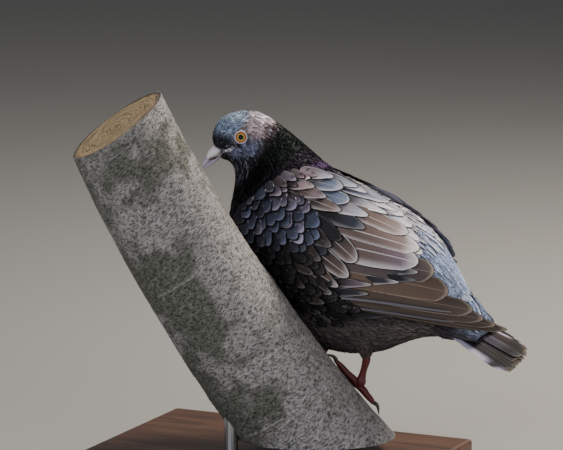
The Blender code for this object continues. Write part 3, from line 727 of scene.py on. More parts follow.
skin_mesh = joined_skin()
points, normals = values(skin_mesh, "co"), values(skin_mesh, "normal")
bird = points / MM - BIRD_ZERO
depth = COAT_DEPTH * (0.35 + 0.65 * smooth(-75, -55, bird[:, 0]))
front = turn_head(bird, -1.0)
depth += CERE_DEPTH * smooth(5.2, 2.6, from_cere(front)) * smooth(-104, -106, front[:, 0])
skin_mesh.vertices.foreach_set("co", (points - normals * depth[:, None] * MM).ravel())
skin_mesh.polygons.foreach_set("use_smooth", np.ones(len(skin_mesh.polygons), bool))
# painted shade: the skin takes the coat's colours at 0.55, and a near-black on the wing, so that the gaps
# between feathers read dark
on_wing = smooth(33, 40, np.abs(bird[:, 1])) * smooth(-80, -70, bird[:, 0])
paint(skin_mesh, "Tint", mix(marks_at(bird), "2e2c30", on_wing) * 0.55)
# downy skin: dull, its Tint holding the painted shade of the gaps between feathers
skin_finish, shader = new_material("downy_skin", 0.9)
plug(shader, {"Base Color": add(shader, "Attribute", attribute_name="Tint")})
new_object("skin", skin_mesh, skin_finish, FLESH)
print("skin", len(points), "points")

# %% [markdown]
# ## The body's coat
# Feathers are smallest round the bill and eye, a little longer on the crown, broad and rounded on
# the back, and long and loose on the belly. Hair particles would give strands and not vanes, so
# each tract is laid as real feathers and kept as one piece. What the folded wings hide is bare.

# %% What the wing hides
LOW_EDGE = ((-84, -71, -50, -27, 0, 27, 47, 58), (69, 57, 47, 38.5, 34, 34, 40.5, 61))
HIGH_EDGE = ((-84, -66, -48, -28, 12, 34, 50, 58), (96, 112, 124, 130, 117, 103, 86, 70))
HIDDEN_DEPTH = 4.5


def hidden_by_wing(points):
    """True where a body point lies well under the wing's chart, between the wing's two edges."""
    drop = np.where(points[:, 1] > 0, WING_DROOP["right"], 0.0)
    side = -np.abs(points[:, 1])
    x, q, o = to_chart(xyz(points[:, 0], side, points[:, 2]))
    i = np.clip(np.round(x - CHART_X[0]).astype(int), 0, heights.shape[0] - 1)
    j = np.clip(np.round(q - CHART_Q[0]).astype(int), 0, heights.shape[1] - 1)
    q = q + (x - WING_SHOULDER[0]) * np.sin(drop)
    over = (x > -84) & (x < 56) & (q > np.interp(x, *LOW_EDGE) + 4) & (q < np.interp(x, *HIGH_EDGE) - 3)
    return over & (side < -9) & (o < heights[i, j] - HIDDEN_DEPTH)


print("share of the body that the wings hide", hidden_by_wing(body["points"].reshape(-1, 3)).mean().round(2))

# %% A tract of the body
PALE_FLECK = "a3a4b6"


def tract(name, first, last, spacing, length, width, material, slot, lift, shade, keep=None, gap=0.0,
          patch=0.003, trim=(0.0, 0.0, 0.0), fade=0.62, fleck=0.0, stray=0.14, **shape):
    """Feathers of the body from its first to its last station.

    spacing, length and width are numbers or functions of the unturned place; keep tells which
    feathers stay. Each feather's size, turn, lift and shade stray a little about the tract's own.
    """
    low, high = int(first * STATION_STEPS), int(last * STATION_STEPS) + 1

    def pitch(points):
        s = np.broadcast_to(np.arange(low, high)[:, None] / STATION_STEPS, points.shape[:2])
        return measured(spacing, unturned(s, np.broadcast_to(angles, points.shape[:2])))

    u, v = spread(body, low, high, pitch)
    s, a = u / STATION_STEPS, v * 2 * pi / BODY_ANGLES
    stays = ~hidden_by_wing(body["read"](u, v)[0])
    if keep:
        stays &= keep(unturned(s, a), s, a)
    u, v, s, a = u[stays], v[stays], s[stays], a[stays]
    flat, n = unturned(s, a), len(u)
    jitter = 1 + 0.16 * rng.standard_normal(n)
    turn = stray * rng.standard_normal(n)
    rise = (lift[0] + 0.25 * rng.random(n), lift[1] + 0.35 * rng.random(n))
    long = measured(length, flat) * np.clip(jitter, 0.7, 1.4)
    wide = measured(width, flat) * np.clip(jitter, 0.8, 1.2)
    tone = np.exp(shade * rng.standard_normal(n))[:, None]
    colour = mix(plumage(s, a, flat) * tone, PALE_FLECK, 0.75 * (rng.random(n) < fleck))
    home = np.stack([a / (2 * pi), (s - first) / (last - first)], -1) * 0.98 + 0.01
    if gap:
        laid = lay_pair(body, u, v, long, wide, turn, rise, gap, **shape)
        # the under twins take the near-black of painted shade
        colour = np.concatenate([np.tile(GAP_SHADE_COLOUR, (n, 1)), colour])
    else:
        laid = lay(body, u, v, long, wide, turn, rise, **shape)
    # painted shade: each feather darker towards its root, where the next one covers it
    root_shade = np.linspace(fade, 1.08, laid[0].shape[1])[None, :, None, None]
    return coat(name, laid, colour[:, None, None] * root_shade, np.tile(trim, (n, 1)), home, patch, material)


print("the body has", BODY_ANGLES, "angles and", len(stations), "fine stations")

# %% [markdown]
# The head's feathers are the shortest, about 1 mm wide at the bill, and the neck's overlap like
# scales and carry the gloss. None grows on the eye or on the bed of the cere.

# %% Head and neck
def bare_face(flat, s, a):
    """False on the eye with its lids, and on the bed of the cere."""
    reach = np.linalg.norm(flat * [1, 0, 1] - EYE * [1, 0, 1], axis=1)
    return ~((reach < 4.7) & (np.abs(flat[:, 1]) > 5)) & (from_cere(flat) > 3.7)


def ahead_of_eye(flat):
    """One just in front of the eye, where feathers are short so that none crosses the iris."""
    reach = np.hypot(flat[..., 0] - EYE[0], flat[..., 2] - EYE[2])
    return smooth(8.5, 6.0, reach) * smooth(1.5, -0.5, flat[..., 0] - EYE[0])


def head_size(flat):
    """One at the bill, growing to two and a half at the nape."""
    return 1.0 + 1.5 * smooth(-110, -80, flat[..., 0])


def down_neck(flat):
    """Zero under the head, one at the breast."""
    return smooth(170, 110, flat[..., 2])


tract("coat_head", 0.0, 7.3, lambda f: 0.5 + 0.42 * head_size(f),
      lambda f: (1.2 + 1.5 * head_size(f)) * (1 - 0.65 * ahead_of_eye(f)),
      lambda f: 0.7 + 0.75 * head_size(f),
      down, "head_feathers", (-0.5, 0.15), 0.42, bare_face, camber=0.1, ragged=0.25, thick=0.15, fade=0.25,
      fleck=0.07)
tract("coat_neck", 7.0, 11.5, lambda f: 1.5 + 0.8 * down_neck(f), lambda f: 6.0 + 2.5 * down_neck(f),
      lambda f: 3.2 + 1.8 * down_neck(f), gloss, "neck_feathers", (-0.9, 0.5), 0.35, ragged=0.25,
      camber=0.08, rows=6, fade=0.4)

# %% [markdown]
# The mantle's feathers are long and edged, so they have near-black twins under them, as the wing's have,
# which are painted shade in the gaps.
# The rump is pale and silky, and the breast and belly are loose, with ragged tips.

# %% Back, rump and breast
def rearward(flat):
    """Zero on the breast, one on the belly."""
    return smooth(0, 40, flat[..., 0])


tract("coat_mantle", 11.2, 16.0, 5.0, 30.0, 5.5, vane, "body_feathers", (-0.8, 1.6), 0.28,
      lambda f, s, a: np.cos(a) > 0.1, rows=9, columns=5, gap=1.6, patch=0.012, trim=(0.5, 0.1, 0.6),
      roll=0.3,
      fade=0.35, stray=0.05)
tract("coat_rump", 14.6, 21.0, 2.6, 16.0, 3.2, down, "body_feathers", (-0.6, 0.7), 0.24,
      lambda f, s, a: np.cos(a) > -0.05, rows=8, ragged=0.15, patch=0.006, roll=0.1, fade=0.35, camber=0.05,
      stray=0.07)
tract("coat_breast", 11.2, 21.0, lambda f: 2.5 + 0.4 * rearward(f), lambda f: 10.0 + 4.0 * rearward(f), 4.6,
      down, "body_feathers", (-0.8, 1.0), 0.22, lambda f, s, a: np.cos(a) <= 0.0, rows=7, ragged=0.5,
      patch=0.006, roll=0.2, fade=0.45)

# %% [markdown]
# ## The wing's small coverts
# On the folded wing small scallops cover the wrist, row over row like roof tiles. They are laid
# in straight rows on the chart, each row from its wrist end to its rear end, and then moved,
# turned and sized a little by chance, because real ones are never quite even. Under each lies
# a near-black twin, painted shade that shows as a thin black gap.

# %% Small coverts of the wrist
COVERT_ROWS = (  # root x and q at the wrist end and at the rear end of a row, count, length, width
    (-77, 101, -36, 135, 8, 8, 9), (-81, 92, -38, 130, 9, 9.5, 10.5), (-80.5, 83, -36, 122, 9, 11.5, 12),
    (-79, 75, -33, 114, 9, 12.5, 12.5), (-76.5, 67, -29, 106, 10, 13, 12.5), (-72, 59.5, -26, 98, 10, 14, 12),
    (-67, 53, -23, 90, 10, 15, 12), (-60, 47, -21, 80, 9, 16, 12), (-52, 42, -20, 70, 8, 17, 12),
    (-43, 37.5, -20, 60, 7, 18, 12), (-33, 34, -14, 50, 6, 20, 12), (-21, 31.5, -4, 42, 5, 21, 11),
)
COVERT_GRID = (8, 7)
ROW_BOW = 3.0


def covert_places():
    """Every covert's x, q, length, width and row: even steps along each row, bowed by sin(pi t)."""
    places = []
    for k, (x0, q0, x1, q1, count, length, width) in enumerate(COVERT_ROWS):
        t = (np.arange(count) + 0.25 + 0.5 * (k % 2)) / count
        q = q0 + (q1 - q0) * t + ROW_BOW * np.sin(pi * t)
        places.append(np.stack(np.broadcast_arrays(x0 + (x1 - x0) * t, q, length, width, k)))
    return np.concatenate(places, 1).astype(float)


def on_chart(x, q):
    """Chart x and q as the wing sheet's row and column."""
    return x - CHART_X[0], q - CHART_Q[0]


def covert_rows(side):
    """Rounded coverts of one wing, warmer at the top rear, and dark below by their own chequer and as painted
    shade.
    """
    x, q, length, width, level = covert_places()
    n = len(x)
    rows, columns = COVERT_GRID
    x, q = x + rng.normal(0, 1.1, n), q + rng.normal(0, 1.1, n)
    warm = smooth(-64, -54, x) * smooth(108, 117, q)
    turn = -0.78 + 0.33 * smooth(-60, -20, x) + 0.35 * smooth(70, 45, q) + 0.35 * warm
    turn = turn + rng.normal(0, 0.13, n)
    base = 4.4 - 0.28 * level - 1.8 * smooth(-52, -44, x) * smooth(4, 2, level)
    base = base - 1.6 * smooth(-70, -78, x) * smooth(86, 98, q)
    if side == "right":
        base = base - 2.4 * smooth(116, 126, q) * smooth(-52, -44, x)
    size = rng.uniform(0.85, 1.25, n)
    length, width = length * size * (1 + 0.5 * warm), width * size * (1.05 - 0.35 * warm)
    laid = lay_pair(wing, *on_chart(x, q), length, width, turn, (base - 2.2, base), 3.4, wider=0.25,
                    rows=rows, columns=columns, blunt=0.5, waist=0.8, camber=0.07, roll=0.05, thick=0.3)
    # dark below and bluer up the slope: the chequered pattern, with painted shade on the lower rows
    light = smooth(74, 92, q)
    colour = layered("1c191b", ("4a5064", light), ("6b5b61", warm),
                     ("7a6f80", light * (rng.uniform(0, 1, n) > 0.8) * 0.6))
    colour = colour * np.exp(0.32 * rng.standard_normal((n, 1)))
    # each covert darker at its root as painted shade under the row above, and paler at its rim
    a, b = np.linspace(0, 1, rows)[:, None], np.abs(np.linspace(-1, 1, columns))[None]
    rim = np.maximum(smooth(0.72, 1.0, a), smooth(0.55, 1.0, b) * smooth(0.4, 0.8, a))
    tint = colour[:, None, None] * ((0.3 + 0.45 * a) + 1.2 * rim)[None, :, :, None]
    tint = np.concatenate([np.broadcast_to(GAP_SHADE_COLOUR, tint.shape), tint])
    home = np.stack([(x + 100) / 240, (q - 14) / 136], 1)
    trim = xyz(0.05 + 0.1 * light, 0.02, 0.0)
    return coat(f"coverts_{side}", hang_wing(laid, side, WING_DROOP[side]), tint, trim, home, 0.02, vane,
                split=True)


for side in SIDES:
    covert_rows(side)

# %% [markdown]
# ## Large plumes
# Broad coverts hang over the secondaries, and the long scapulars and tertials lie over the top.
# Each has its own place and colour on a real bird, so they are set one by one, by root, tip,
# width and layer, as a taxidermist grooms them. The layer lifts each off the ones it covers.

# %% The plumes of a wing
BLUE, LILAC, PINK, PALE, WHITE = "66728c", "7d6c74", "a58d89", "a3a5b4", "d9d6dc"
BROWN, OLIVE, DARK, SLATE, NAVY = "68564f", "332b27", "1b191c", "3b3a43", "2c313f"
PLUMES = (  # root and tip colour, margin, shaft, blaze; then x, q, tip x, tip q, width, layer of each
    # secondaries under the tertials: dark by their own colour and as painted shade below the tertials
    ((DARK, SLATE, 0.5, 0, 0.3), (-18, 47, 25, 51, 8, 0)),
    ((DARK, LILAC, 0.6, 0, 0.4), (-14, 53, 27.5, 56.5, 8, 1)),
    ((DARK, SLATE, 0.7, 0, 0.6), (-2, 56, 46, 60.5, 8, 0)),
    ((DARK, DARK, 0.3, 0, 0.2), (8, 59, 57, 63.5, 8, 0)),
    ((DARK, SLATE, 0.6, 0, 0.3), (12, 65, 58, 68.5, 9, 1)),
    # greater and median coverts: olive and dark, partly their own colour and partly painted shade
    ((OLIVE, OLIVE, 0.2, 0.1, 0.1), (-42, 40, -12, 34.5, 11, 2), (-38, 47, -8, 40, 12, 3)),
    ((OLIVE, OLIVE, 0.5, 0.3, 0.2), (-30, 57, -2, 45.5, 12, 4)),
    ((OLIVE, BROWN, 0.7, 0.6, 0.4), (-27, 65, 3.5, 50.5, 13, 5), (-22, 77, 11.5, 58.5, 14, 6)),
    ((OLIVE, BROWN, 0.8, 0.5, 0.3), (-14, 90, 17, 69.5, 16, 7)),
    ((OLIVE, OLIVE, 0.2, 0.1, 0.1), (-50, 60, -22, 48, 12, 6), (-45, 71, -15, 57, 12, 7),
     (-39, 81, -9, 67, 13, 8)),
    ((DARK, OLIVE, 0.2, 0.1, 0.1), (-32, 91, -2, 77, 13, 9)),
    ((DARK, DARK, 0.1, 0, 0), (-27, 97, 5, 82, 13, 10)),
    ((DARK, NAVY, 0.3, 0, 0.2), (-20, 104, 19, 91.5, 13, 11)),
    # tertials
    ((BROWN, LILAC, 0.9, 0.7, 0.6), (2, 79, 56.5, 74.5, 22, 4)),
    ((BROWN, "8d7871", 0.9, 0.7, 0.8), (0, 92, 55, 84, 19, 6)),
    ((BROWN, "93807b", 0.8, 0.5, 0.5), (4, 106, 46.5, 92.5, 14, 8)),
    # pale plumes along the upper rear edge
    ((PALE, WHITE, 0.4, 0, 0.3), (-8, 125, 27, 116, 11, 2), (4, 121.5, 38, 109.5, 11, 2),
     (15, 116, 48, 99.5, 11, 2), (27, 107, 56, 87, 11, 2)),
    ((PALE, WHITE, 0.5, 0, 0.4), (6, 118, 40, 106.5, 12, 3), (16, 111, 48, 98.5, 12, 3),
     (24, 103, 55, 90, 12, 3), (32, 93, 59, 81, 12, 3)),
    # upper scapulars, along the back
    ((SLATE, WHITE, 0.6, 0, 0.7), (-14, 119, 30, 104, 8, 9)),
    ((SLATE, WHITE, 0.8, 0, 0.7), (-16, 125, 35, 106.5, 7, 10), (-28, 133, 12, 119.5, 8, 11)),
    ((NAVY, PALE, 0.7, 0, 0.7), (-26, 128, 24, 112, 7, 10)),
    # scapulars
    ((BROWN, PALE, 0.5, 0.1, 0.6), (-24, 112, 18.5, 100.5, 12, 12)),
    ((OLIVE, "75645f", 0.6, 0.5, 0.3), (-38, 113, -1, 101.5, 12, 13)),
    ((NAVY, BLUE, 0.6, 0.2, 0.1), (-32, 118, 2, 109, 14, 14)),
    ((BROWN, LILAC, 0.6, 0.2, 0.3), (-42, 117, -14, 110.5, 10, 15)),
    ((SLATE, PALE, 0.7, 0.1, 0.5), (-36, 132, 5, 122.5, 10, 15)),
    ((SLATE, BLUE, 0.5, 0.2, 0.4), (-42, 126, -5, 119.5, 14, 16)),
    ((LILAC, PINK, 0.5, 0.1, 0.3), (-47, 121, -24, 117, 9, 17)),
    ((LILAC, PALE, 0.5, 0.1, 0.4), (-40, 132, -14, 127, 10, 17)),
)
BROAD, TOP_LAYER = 13.5, 8.5


def reach(x, q, tip_x, tip_q):
    """Length from root to tip on the chart, and the way there."""
    return np.hypot(tip_x - x, tip_q - q), np.arctan2(tip_q - q, tip_x - x)


def plume_rows(side):
    """The large plumes of one wing, each from its root to its tip on the chart, layer over layer."""
    looks, places = zip(*((look, spot) for look, *spots in PLUMES for spot in spots))
    x, q, tip_x, tip_q, width, layer = np.array(places, float).T
    length, turn = reach(x, q, tip_x, tip_q)
    n, rows, columns = len(x), 14, 7
    base = 0.9 + 0.17 * layer
    if side == "right":
        sunk = smooth(108, 118, q) * smooth(2, -10, x)
        base = base * (1 - sunk) + (0.06 * layer - 1.3) * sunk
    broad, top = width > BROAD, layer > TOP_LAYER
    root = base - 1.9 - 1.4 * smooth(-34, -44, x) + 1.3 * (broad & (tip_x > 40))
    laid = lay_pair(wing, *on_chart(x, q), length, width * (1 - 0.06 * broad), turn, (root, base + 0.35),
                    np.where(top, 1.7, 1.2), rows=rows, columns=columns, blunt=np.where(broad, 0.14, 0.16),
                    waist=np.where(broad, 0.72, 0.5), camber=0.02, roll=0.25, thick=0.35)
    first, last = (np.array([srgb(look[k]) for look in looks])[:, None, None] for k in (0, 1))
    t = smooth(0.35, 0.95, np.linspace(0, 1, rows))[None, :, None, None]
    tint = first * (1 - t) + last * t
    # painted shade: each plume darker towards the side that its neighbour covers
    tint = tint * (1 - 0.35 * smooth(0.3, 1.0, np.linspace(-1, 1, columns)))[None, None, :, None]
    # painted shade: the under twins at an eighth of the tint, dark in the gaps
    under = tint * 0.12
    # painted shade on the right wing: its top front plumes at 0.45 and the front of its twins at 0.3; the
    # rear twins take the plumes' own pale colour
    if side == "right":
        tint = tint * np.where(top & (tip_x < 4), 0.45, 1.0)[:, None, None, None]
        under = mix(tint * 0.3, "a7a6b2", smooth(14, 26, tip_x)[:, None, None])
    cells = ceil(sqrt(2 * n))
    k = np.arange(2 * n)
    home = np.stack([(k % cells + 0.5) / cells, (k // cells + 0.5) / cells], 1)
    return coat(f"plumes_{side}", hang_wing(laid, side, WING_DROOP[side]), np.concatenate([under, tint]),
                [look[2:] for look in looks], home, 0.92 / cells, vane, split=True)


for side in SIDES:
    plume_rows(side)

# %% [markdown]
# ## Flight feathers
# Primaries and secondaries are long stiff vanes that close like a fan, each lying partly under
# the next. They are laid on the same chart, from under the coverts to the wing's tip, and stand
# for the thin solids of the folded tips.

# %% Flight feathers
# the last two rows are thin pale strips along the primaries: their pale outer webs, with a painted highlight
# on them
FLIGHTS = (  # root q, tip x, tip q, width, layer, colour
    (41.5, 110, 36.4, 9, 0, "4a3f38"), (42.5, 121, 36.8, 10, 1, "453a33"), (44.5, 113, 39.6, 12, 2, "4b4039"),
    (47, 104, 43.4, 15, 3, "52463e"), (52.5, 96, 48.4, 18, 4, "5a4c43"), (62, 78.5, 58.4, 22, 5, "69574b"),
    (71, 67.5, 70, 21, 6, "55494a"), (45.5, 82, 46.2, 2.2, 7, "77747d"), (40.6, 84, 39.6, 2, 7, "6d6a73"),
)


def in_rows(count):
    """Places on the unwrap for long feathers: one above the other in the middle."""
    return np.stack([np.full(count, 0.5), (np.arange(count) + 0.5) / count], 1)


def flight_rows(side):
    """Long stiff vanes from under the coverts to the wing's tip."""
    q, tip_x, tip_q, width, layer = np.array([row[:5] for row in FLIGHTS], float).T
    n, rows, columns = len(q), 18, 7
    x = np.full(n, FLIGHT_ROOT_X)
    base = -1.3 + 0.34 * layer
    length, turn = reach(x, q, tip_x, tip_q)
    laid = lay_pair(wing, *on_chart(x, q), length, width, turn, (base - 0.3, base), 1.0, rows=rows,
                    columns=columns, blunt=0.10, waist=0.78, camber=0.012, roll=0.12, thick=0.3)
    # painted shade: each vane darker towards one edge and towards its tip, and the left wing's under twins at
    # 0.3 for the gaps
    shade = (1.08 - 0.4 * smooth(-0.2, 1.0, np.linspace(-1, 1, columns)))[None, None, :, None]
    colour = np.array([srgb(row[5]) for row in FLIGHTS])[:, None, None]
    tint = colour * shade * np.linspace(1.0, 0.72, rows)[None, :, None, None]
    under = tint * 0.3 if side == "left" else mix(tint, "8d8992", 0.6)
    return coat(f"flight_feathers_{side}", hang_wing(laid, side, FLIGHT_DROOP[side]),
                np.concatenate([under, tint]), np.tile([0.6, 0.25, 0.05], (n, 1)), in_rows(2 * n), 0.45 / n,
                quill, (f"flight_{side}",), split=True)


for side in SIDES:
    flight_rows(side)

# %% [markdown]
# ## Tail
# The tail's twelve feathers lie in a shallow fan about its root, dark banded near the end and
# worn at the tips. The fan is worked out flat, one row of the array for each feather, and then
# rolled, dropped and swung as one, as the bird holds it.

# %% Tail
TAIL_FEATHERS = 12
TAIL_ROOT = np.array([66.0, 0.0, 58.0])
TAIL_LENGTH, TAIL_SKEW, TAIL_WIDTH = 66.0, 0.09, 18.5
TAIL_FAN, TAIL_SWING, TAIL_DROP, TAIL_ROLL = (radians(a) for a in (9.5, -9.5, 21.5, 10.0))
# painted light and shade: a brightness for each tail vane, as light falls on the held tail
VANE_PAINTED_LIGHT = (1.7, 0.4, 0.35, 1.1, 0.95, 0.3, 2.1, 0.45, 0.5, 0.4, 0.5, 1.5)


def turn_about(first, second, angle):
    """Matrix of a turn that carries axis first towards axis second."""
    matrix = np.eye(3)
    matrix[first, first] = matrix[second, second] = cos(angle)
    matrix[second, first], matrix[first, second] = sin(angle), -sin(angle)
    return matrix


TAIL_TURN = turn_about(0, 1, TAIL_SWING) @ turn_about(2, 0, TAIL_DROP) @ turn_about(1, 2, TAIL_ROLL)


def tail_turn(points):
    """Roll about the root, then drop, then swing, then move to the root."""
    return points @ TAIL_TURN.T + TAIL_ROOT


def tail_shape(share, a, b):
    """Tops and undersides: along the shaft a, across b, share in -1..1 the feather's place.

    Each vane is dished by 0.02 across^2, slopes to the middle, and ends in a worn ragged edge.
    """
    length = TAIL_LENGTH * (1 - 0.04 * share ** 2 - TAIL_SKEW * share)
    wear = 1.2 * rng.standard_normal((len(share), 1, b.size)) * a ** 6
    along = length * (a - 0.07 * b ** 2 * a ** 4) + wear
    across = 0.36 * TAIL_WIDTH * (0.6 + 0.4 * np.sin(pi * a ** 0.6 * 0.62 + 0.25)) * b
    fan = TAIL_FAN * share
    x = along * np.cos(fan) - across * np.sin(fan)
    y = 8.0 * share + along * np.sin(fan) + across * np.cos(fan)
    z = -3.2 * np.abs(share) + 0.09 * across * np.where(share < 0, 1, -1) - 0.02 * across ** 2
    z = z + 0.6 * np.sin(5 * share) * a
    belly = 0.4 * (1 - b ** 2) * np.sin(pi * a) ** 0.5
    return tail_turn(xyz(x, y, z)), tail_turn(xyz(x, y, z - belly))


def tail_colours(share, a, b):
    """Slate with a black band and a brown tip; the inner vane darker as painted shade, and each vane lighter
    or darker by its own factor as painted light and shade; some vanes warmer.
    """
    dark = band(0.76, 0.93, a, 0.05)
    towards_edge = np.sign(share) * b
    tint = layered("403c49", ("0b0a0d", 0.8 * dark), ("33271f", smooth(0.94, 0.98, a)))
    # painted shade: the inner vane darker, and each vane scaled by its painted light
    tint = tint * (1.1 - 0.8 * smooth(-0.9, 0.1, -towards_edge)[..., None])
    tint = tint * np.array(VANE_PAINTED_LIGHT)[:, None, None, None]
    warm = np.where((share > 0.15) | (np.abs(share + 0.36) < 0.15), 1.0, 0.0)
    outer = smooth(0.85, 1.0, np.abs(share)) * smooth(0.2, 0.6, towards_edge) * (1 - dark)
    return layered(tint, (tint * srgb("d0ab90") * 1.4, warm), ("a5a2b0", outer))


n = TAIL_FEATHERS
fan = (np.linspace(-1, 1, n)[:, None, None], np.linspace(0, 1, 18)[None, :, None],
       np.linspace(-1, 1, 7)[None, None])
coat("tail_feathers", tail_shape(*fan), tail_colours(*fan), np.tile([0.2, 0.12, 0.0], (n, 1)), in_rows(n),
     0.9 / n, quill, ("tail",), split=True)

# %% [markdown]
# ## Tail coverts
# Soft feathers close the step between the rump and the tail. They lie on a sheet of their own,
# whose rings pass from one of the body's last to a flat one about the tail's root.

# %% Tail coverts
COVERT_START, COVERT_REACH, COVERT_RINGS = 20.2, 34.0, 45


def tail_covert_sheet():
    """Rings blended evenly from first to last, each swollen about its middle by 0.12 sin(pi t)."""
    t = np.linspace(0, 1, COVERT_RINGS)[:, None, None]
    first = body_point(np.full(BODY_ANGLES, COVERT_START), angles)[None]
    last = tail_turn(xyz(COVERT_REACH, 13.0 * np.sin(angles), 1.0 + 2.2 * np.cos(angles)))[None]
    middle = 0.5 * first.mean(1, keepdims=True) + 0.5 * last.mean(1, keepdims=True)
    return make_sheet(middle + (first + (last - first) * t - middle) * (1 + 0.12 * np.sin(pi * t)), True)


vent = tail_covert_sheet()
u, v = spread(vent, 0, 36, 2.5)
n = len(u)
u = np.clip(u + rng.uniform(-2, 2, n), 0, 40)
laid = lay(vent, u, v, rng.uniform(11, 20, n), 3.7, rng.normal(0, 0.1, n), (-0.9, 0.9), rows=7, ragged=0.3,
           camber=0.06, thick=0.3)
above = smooth(-0.2, 0.5, np.cos(v * 2 * pi / BODY_ANGLES))
colour = mix("4d474c", mix("a9b5ca", "6d7386", smooth(10, 34, u)), above)
colour = colour * np.exp(0.3 * rng.standard_normal((n, 1)))
# painted shade: each covert darker towards its root, where the next one covers it
coat("coat_tail_coverts", laid, colour[:, None, None] * np.linspace(0.35, 1.08, 7)[None, :, None, None],
     np.zeros((n, 3)), np.stack([v / BODY_ANGLES, u / 45], 1), 0.012, down)

# %% [markdown]
# ## Bare parts
# Bill, legs, claws and limb are lofts: rings strung along a path and closed at both ends. Each is
# drawn from the sizes that gave the solid it stands for, with many more rings, so that scales,
# hooks and ridges can be raised on it.

# %% Tubes, turned forms and their meshes
def around(count):
    """Even angles once round."""
    return np.arange(count) * 2 * pi / count


def along(rows, count):
    """A smooth curve through rows, or through plain numbers, read at count even places."""
    rows = np.asarray(rows, float)
    curve = spline(rows.reshape(len(rows), -1), np.linspace(0, len(rows) - 1, count))
    return curve[:, 0] if rows.ndim == 1 else curve


def tube(path, radii, sides=20, flatten=1.0, swell=None):
    """Rings square to a path: radius (cos side + flatten sin top). swell(share, top) scales them."""
    ahead = unit(np.gradient(path, axis=0))
    side = unit(np.cross(ahead, [0.13, 0.21, 1.0]))
    top = np.cross(side, ahead)
    a = around(sides)
    share = np.linspace(0, 1, len(path))[:, None]
    size = radii[:, None] * (swell(share, np.sin(a)[None]) if swell else 1)
    return path[:, None] + size[..., None] * (np.cos(a)[None, :, None] * side[:, None]
                                              + flatten * np.sin(a)[None, :, None] * top[:, None])


def walls_of(grid):
    """Two triangles between each point of stacked rings and its neighbours."""
    a, b, c, d = grid[:-1], np.roll(grid, -1, 1)[:-1], np.roll(grid, -1, 1)[1:], grid[1:]
    return np.concatenate([np.stack([a, b, c], -1).reshape(-1, 3), np.stack([a, c, d], -1).reshape(-1, 3)])


def closed(rings):
    """Points and triangles of a stack of rings with a fan over each end."""
    n, m = rings.shape[:2]
    points = np.concatenate([rings.reshape(-1, 3), rings[:1].mean(1), rings[-1:].mean(1)])
    grid = np.arange(n * m).reshape(n, m)
    first = np.stack([np.roll(grid[0], -1), grid[0], np.full(m, n * m)], -1)
    last = np.stack([grid[-1], np.roll(grid[-1], -1), np.full(m, n * m + 1)], -1)
    return points, np.concatenate([walls_of(grid), first, last])


def outward(points, faces):
    """Faces turned so that the volume they enclose counts as positive."""
    a, b, c = points[faces[:, 0]], points[faces[:, 1]], points[faces[:, 2]]
    return faces if np.einsum("ij,ij->i", a, np.cross(b, c)).sum() > 0 else faces[:, ::-1]


def solid(name, stacks, material, nodes=(), tints=None, sharp=40):
    """One object of several closed lofts, each a stack of rings. tints gives their point colours."""
    points, faces, shift = [], [], 0
    for rings in stacks:
        p, f = closed(rings)
        points.append(p)
        faces.append(outward(p - p.mean(0), f) + shift)
        shift += len(p)
    points = np.concatenate(points)
    mesh = build_mesh(name, place(points), np.concatenate(faces), sharp)
    if tints:
        paint(mesh, "Tint", tints(points))
    print(name, sum(len(f) for f in faces), "triangles")
    return new_object(name, mesh, material, nodes)


def turned(profile, centre, axis, steps=48):
    """Rings about an axis from a profile of radius and height pairs."""
    east = unit(np.cross(axis, [0.0, 0.0, 1.0]))
    north = np.cross(east, axis)
    a = around(steps)
    r, h = np.asarray(profile, float).T
    spoke = np.cos(a)[:, None] * east + np.sin(a)[:, None] * north
    return centre + r[:, None, None] * spoke[None] + h[:, None, None] * axis


print("a closed cone of 20 rings of 8 has", len(closed(np.ones((20, 8, 3)))[1]), "triangles")

# %% [markdown]
# The perch is a smooth-barked limb. Its bark is grey, with fine raised flecks that run across it,
# ring scars of old twigs, faint green algae and darker pits, and a dark green painted shade on one
# side. The upper end is sawn square and shows the rings of the wood; the foot is sawn level over
# the base. It is one loft of fine rings, raised and coloured by smooth noise in millimetres, so
# that relief and colour stay together.

# %% The limb's form
LIMB_RISE, LIMB_HEADING = radians(54.0), radians(36.0)
LIMB_RADIUS_LOW, LIMB_RADIUS_HIGH = 46.5, 37.5
LIMB_TOP, LIMB_FOOT, LIMB_CUT_HEIGHT = 268.0, -62.0, -31.0
LIMB_BEND, LIMB_SWEEP, LIMB_BEND_START = 20.0, 44.0, 30.0
LEFT_SOLE = np.array([1.5, -15.0, 0.0])
FEET = {"left": (0.0, radians(7.0), radians(42.0), radians(200.0)),
        "right": (18.0, radians(55.0), radians(35.0), radians(182.0))}
UP = np.array([-cos(LIMB_RISE) * cos(LIMB_HEADING), -cos(LIMB_RISE) * sin(LIMB_HEADING), sin(LIMB_RISE)])
FAR = unit(np.cross(UP, [0.0, 0.0, 1.0]))
RIDGE = np.cross(FAR, UP)


def limb_radius(d):
    """Radius falls evenly from the foot to the top."""
    way = np.clip((d - LIMB_FOOT) / (LIMB_TOP - LIMB_FOOT), 0, 1)
    return LIMB_RADIUS_LOW + (LIMB_RADIUS_HIGH - LIMB_RADIUS_LOW) * way


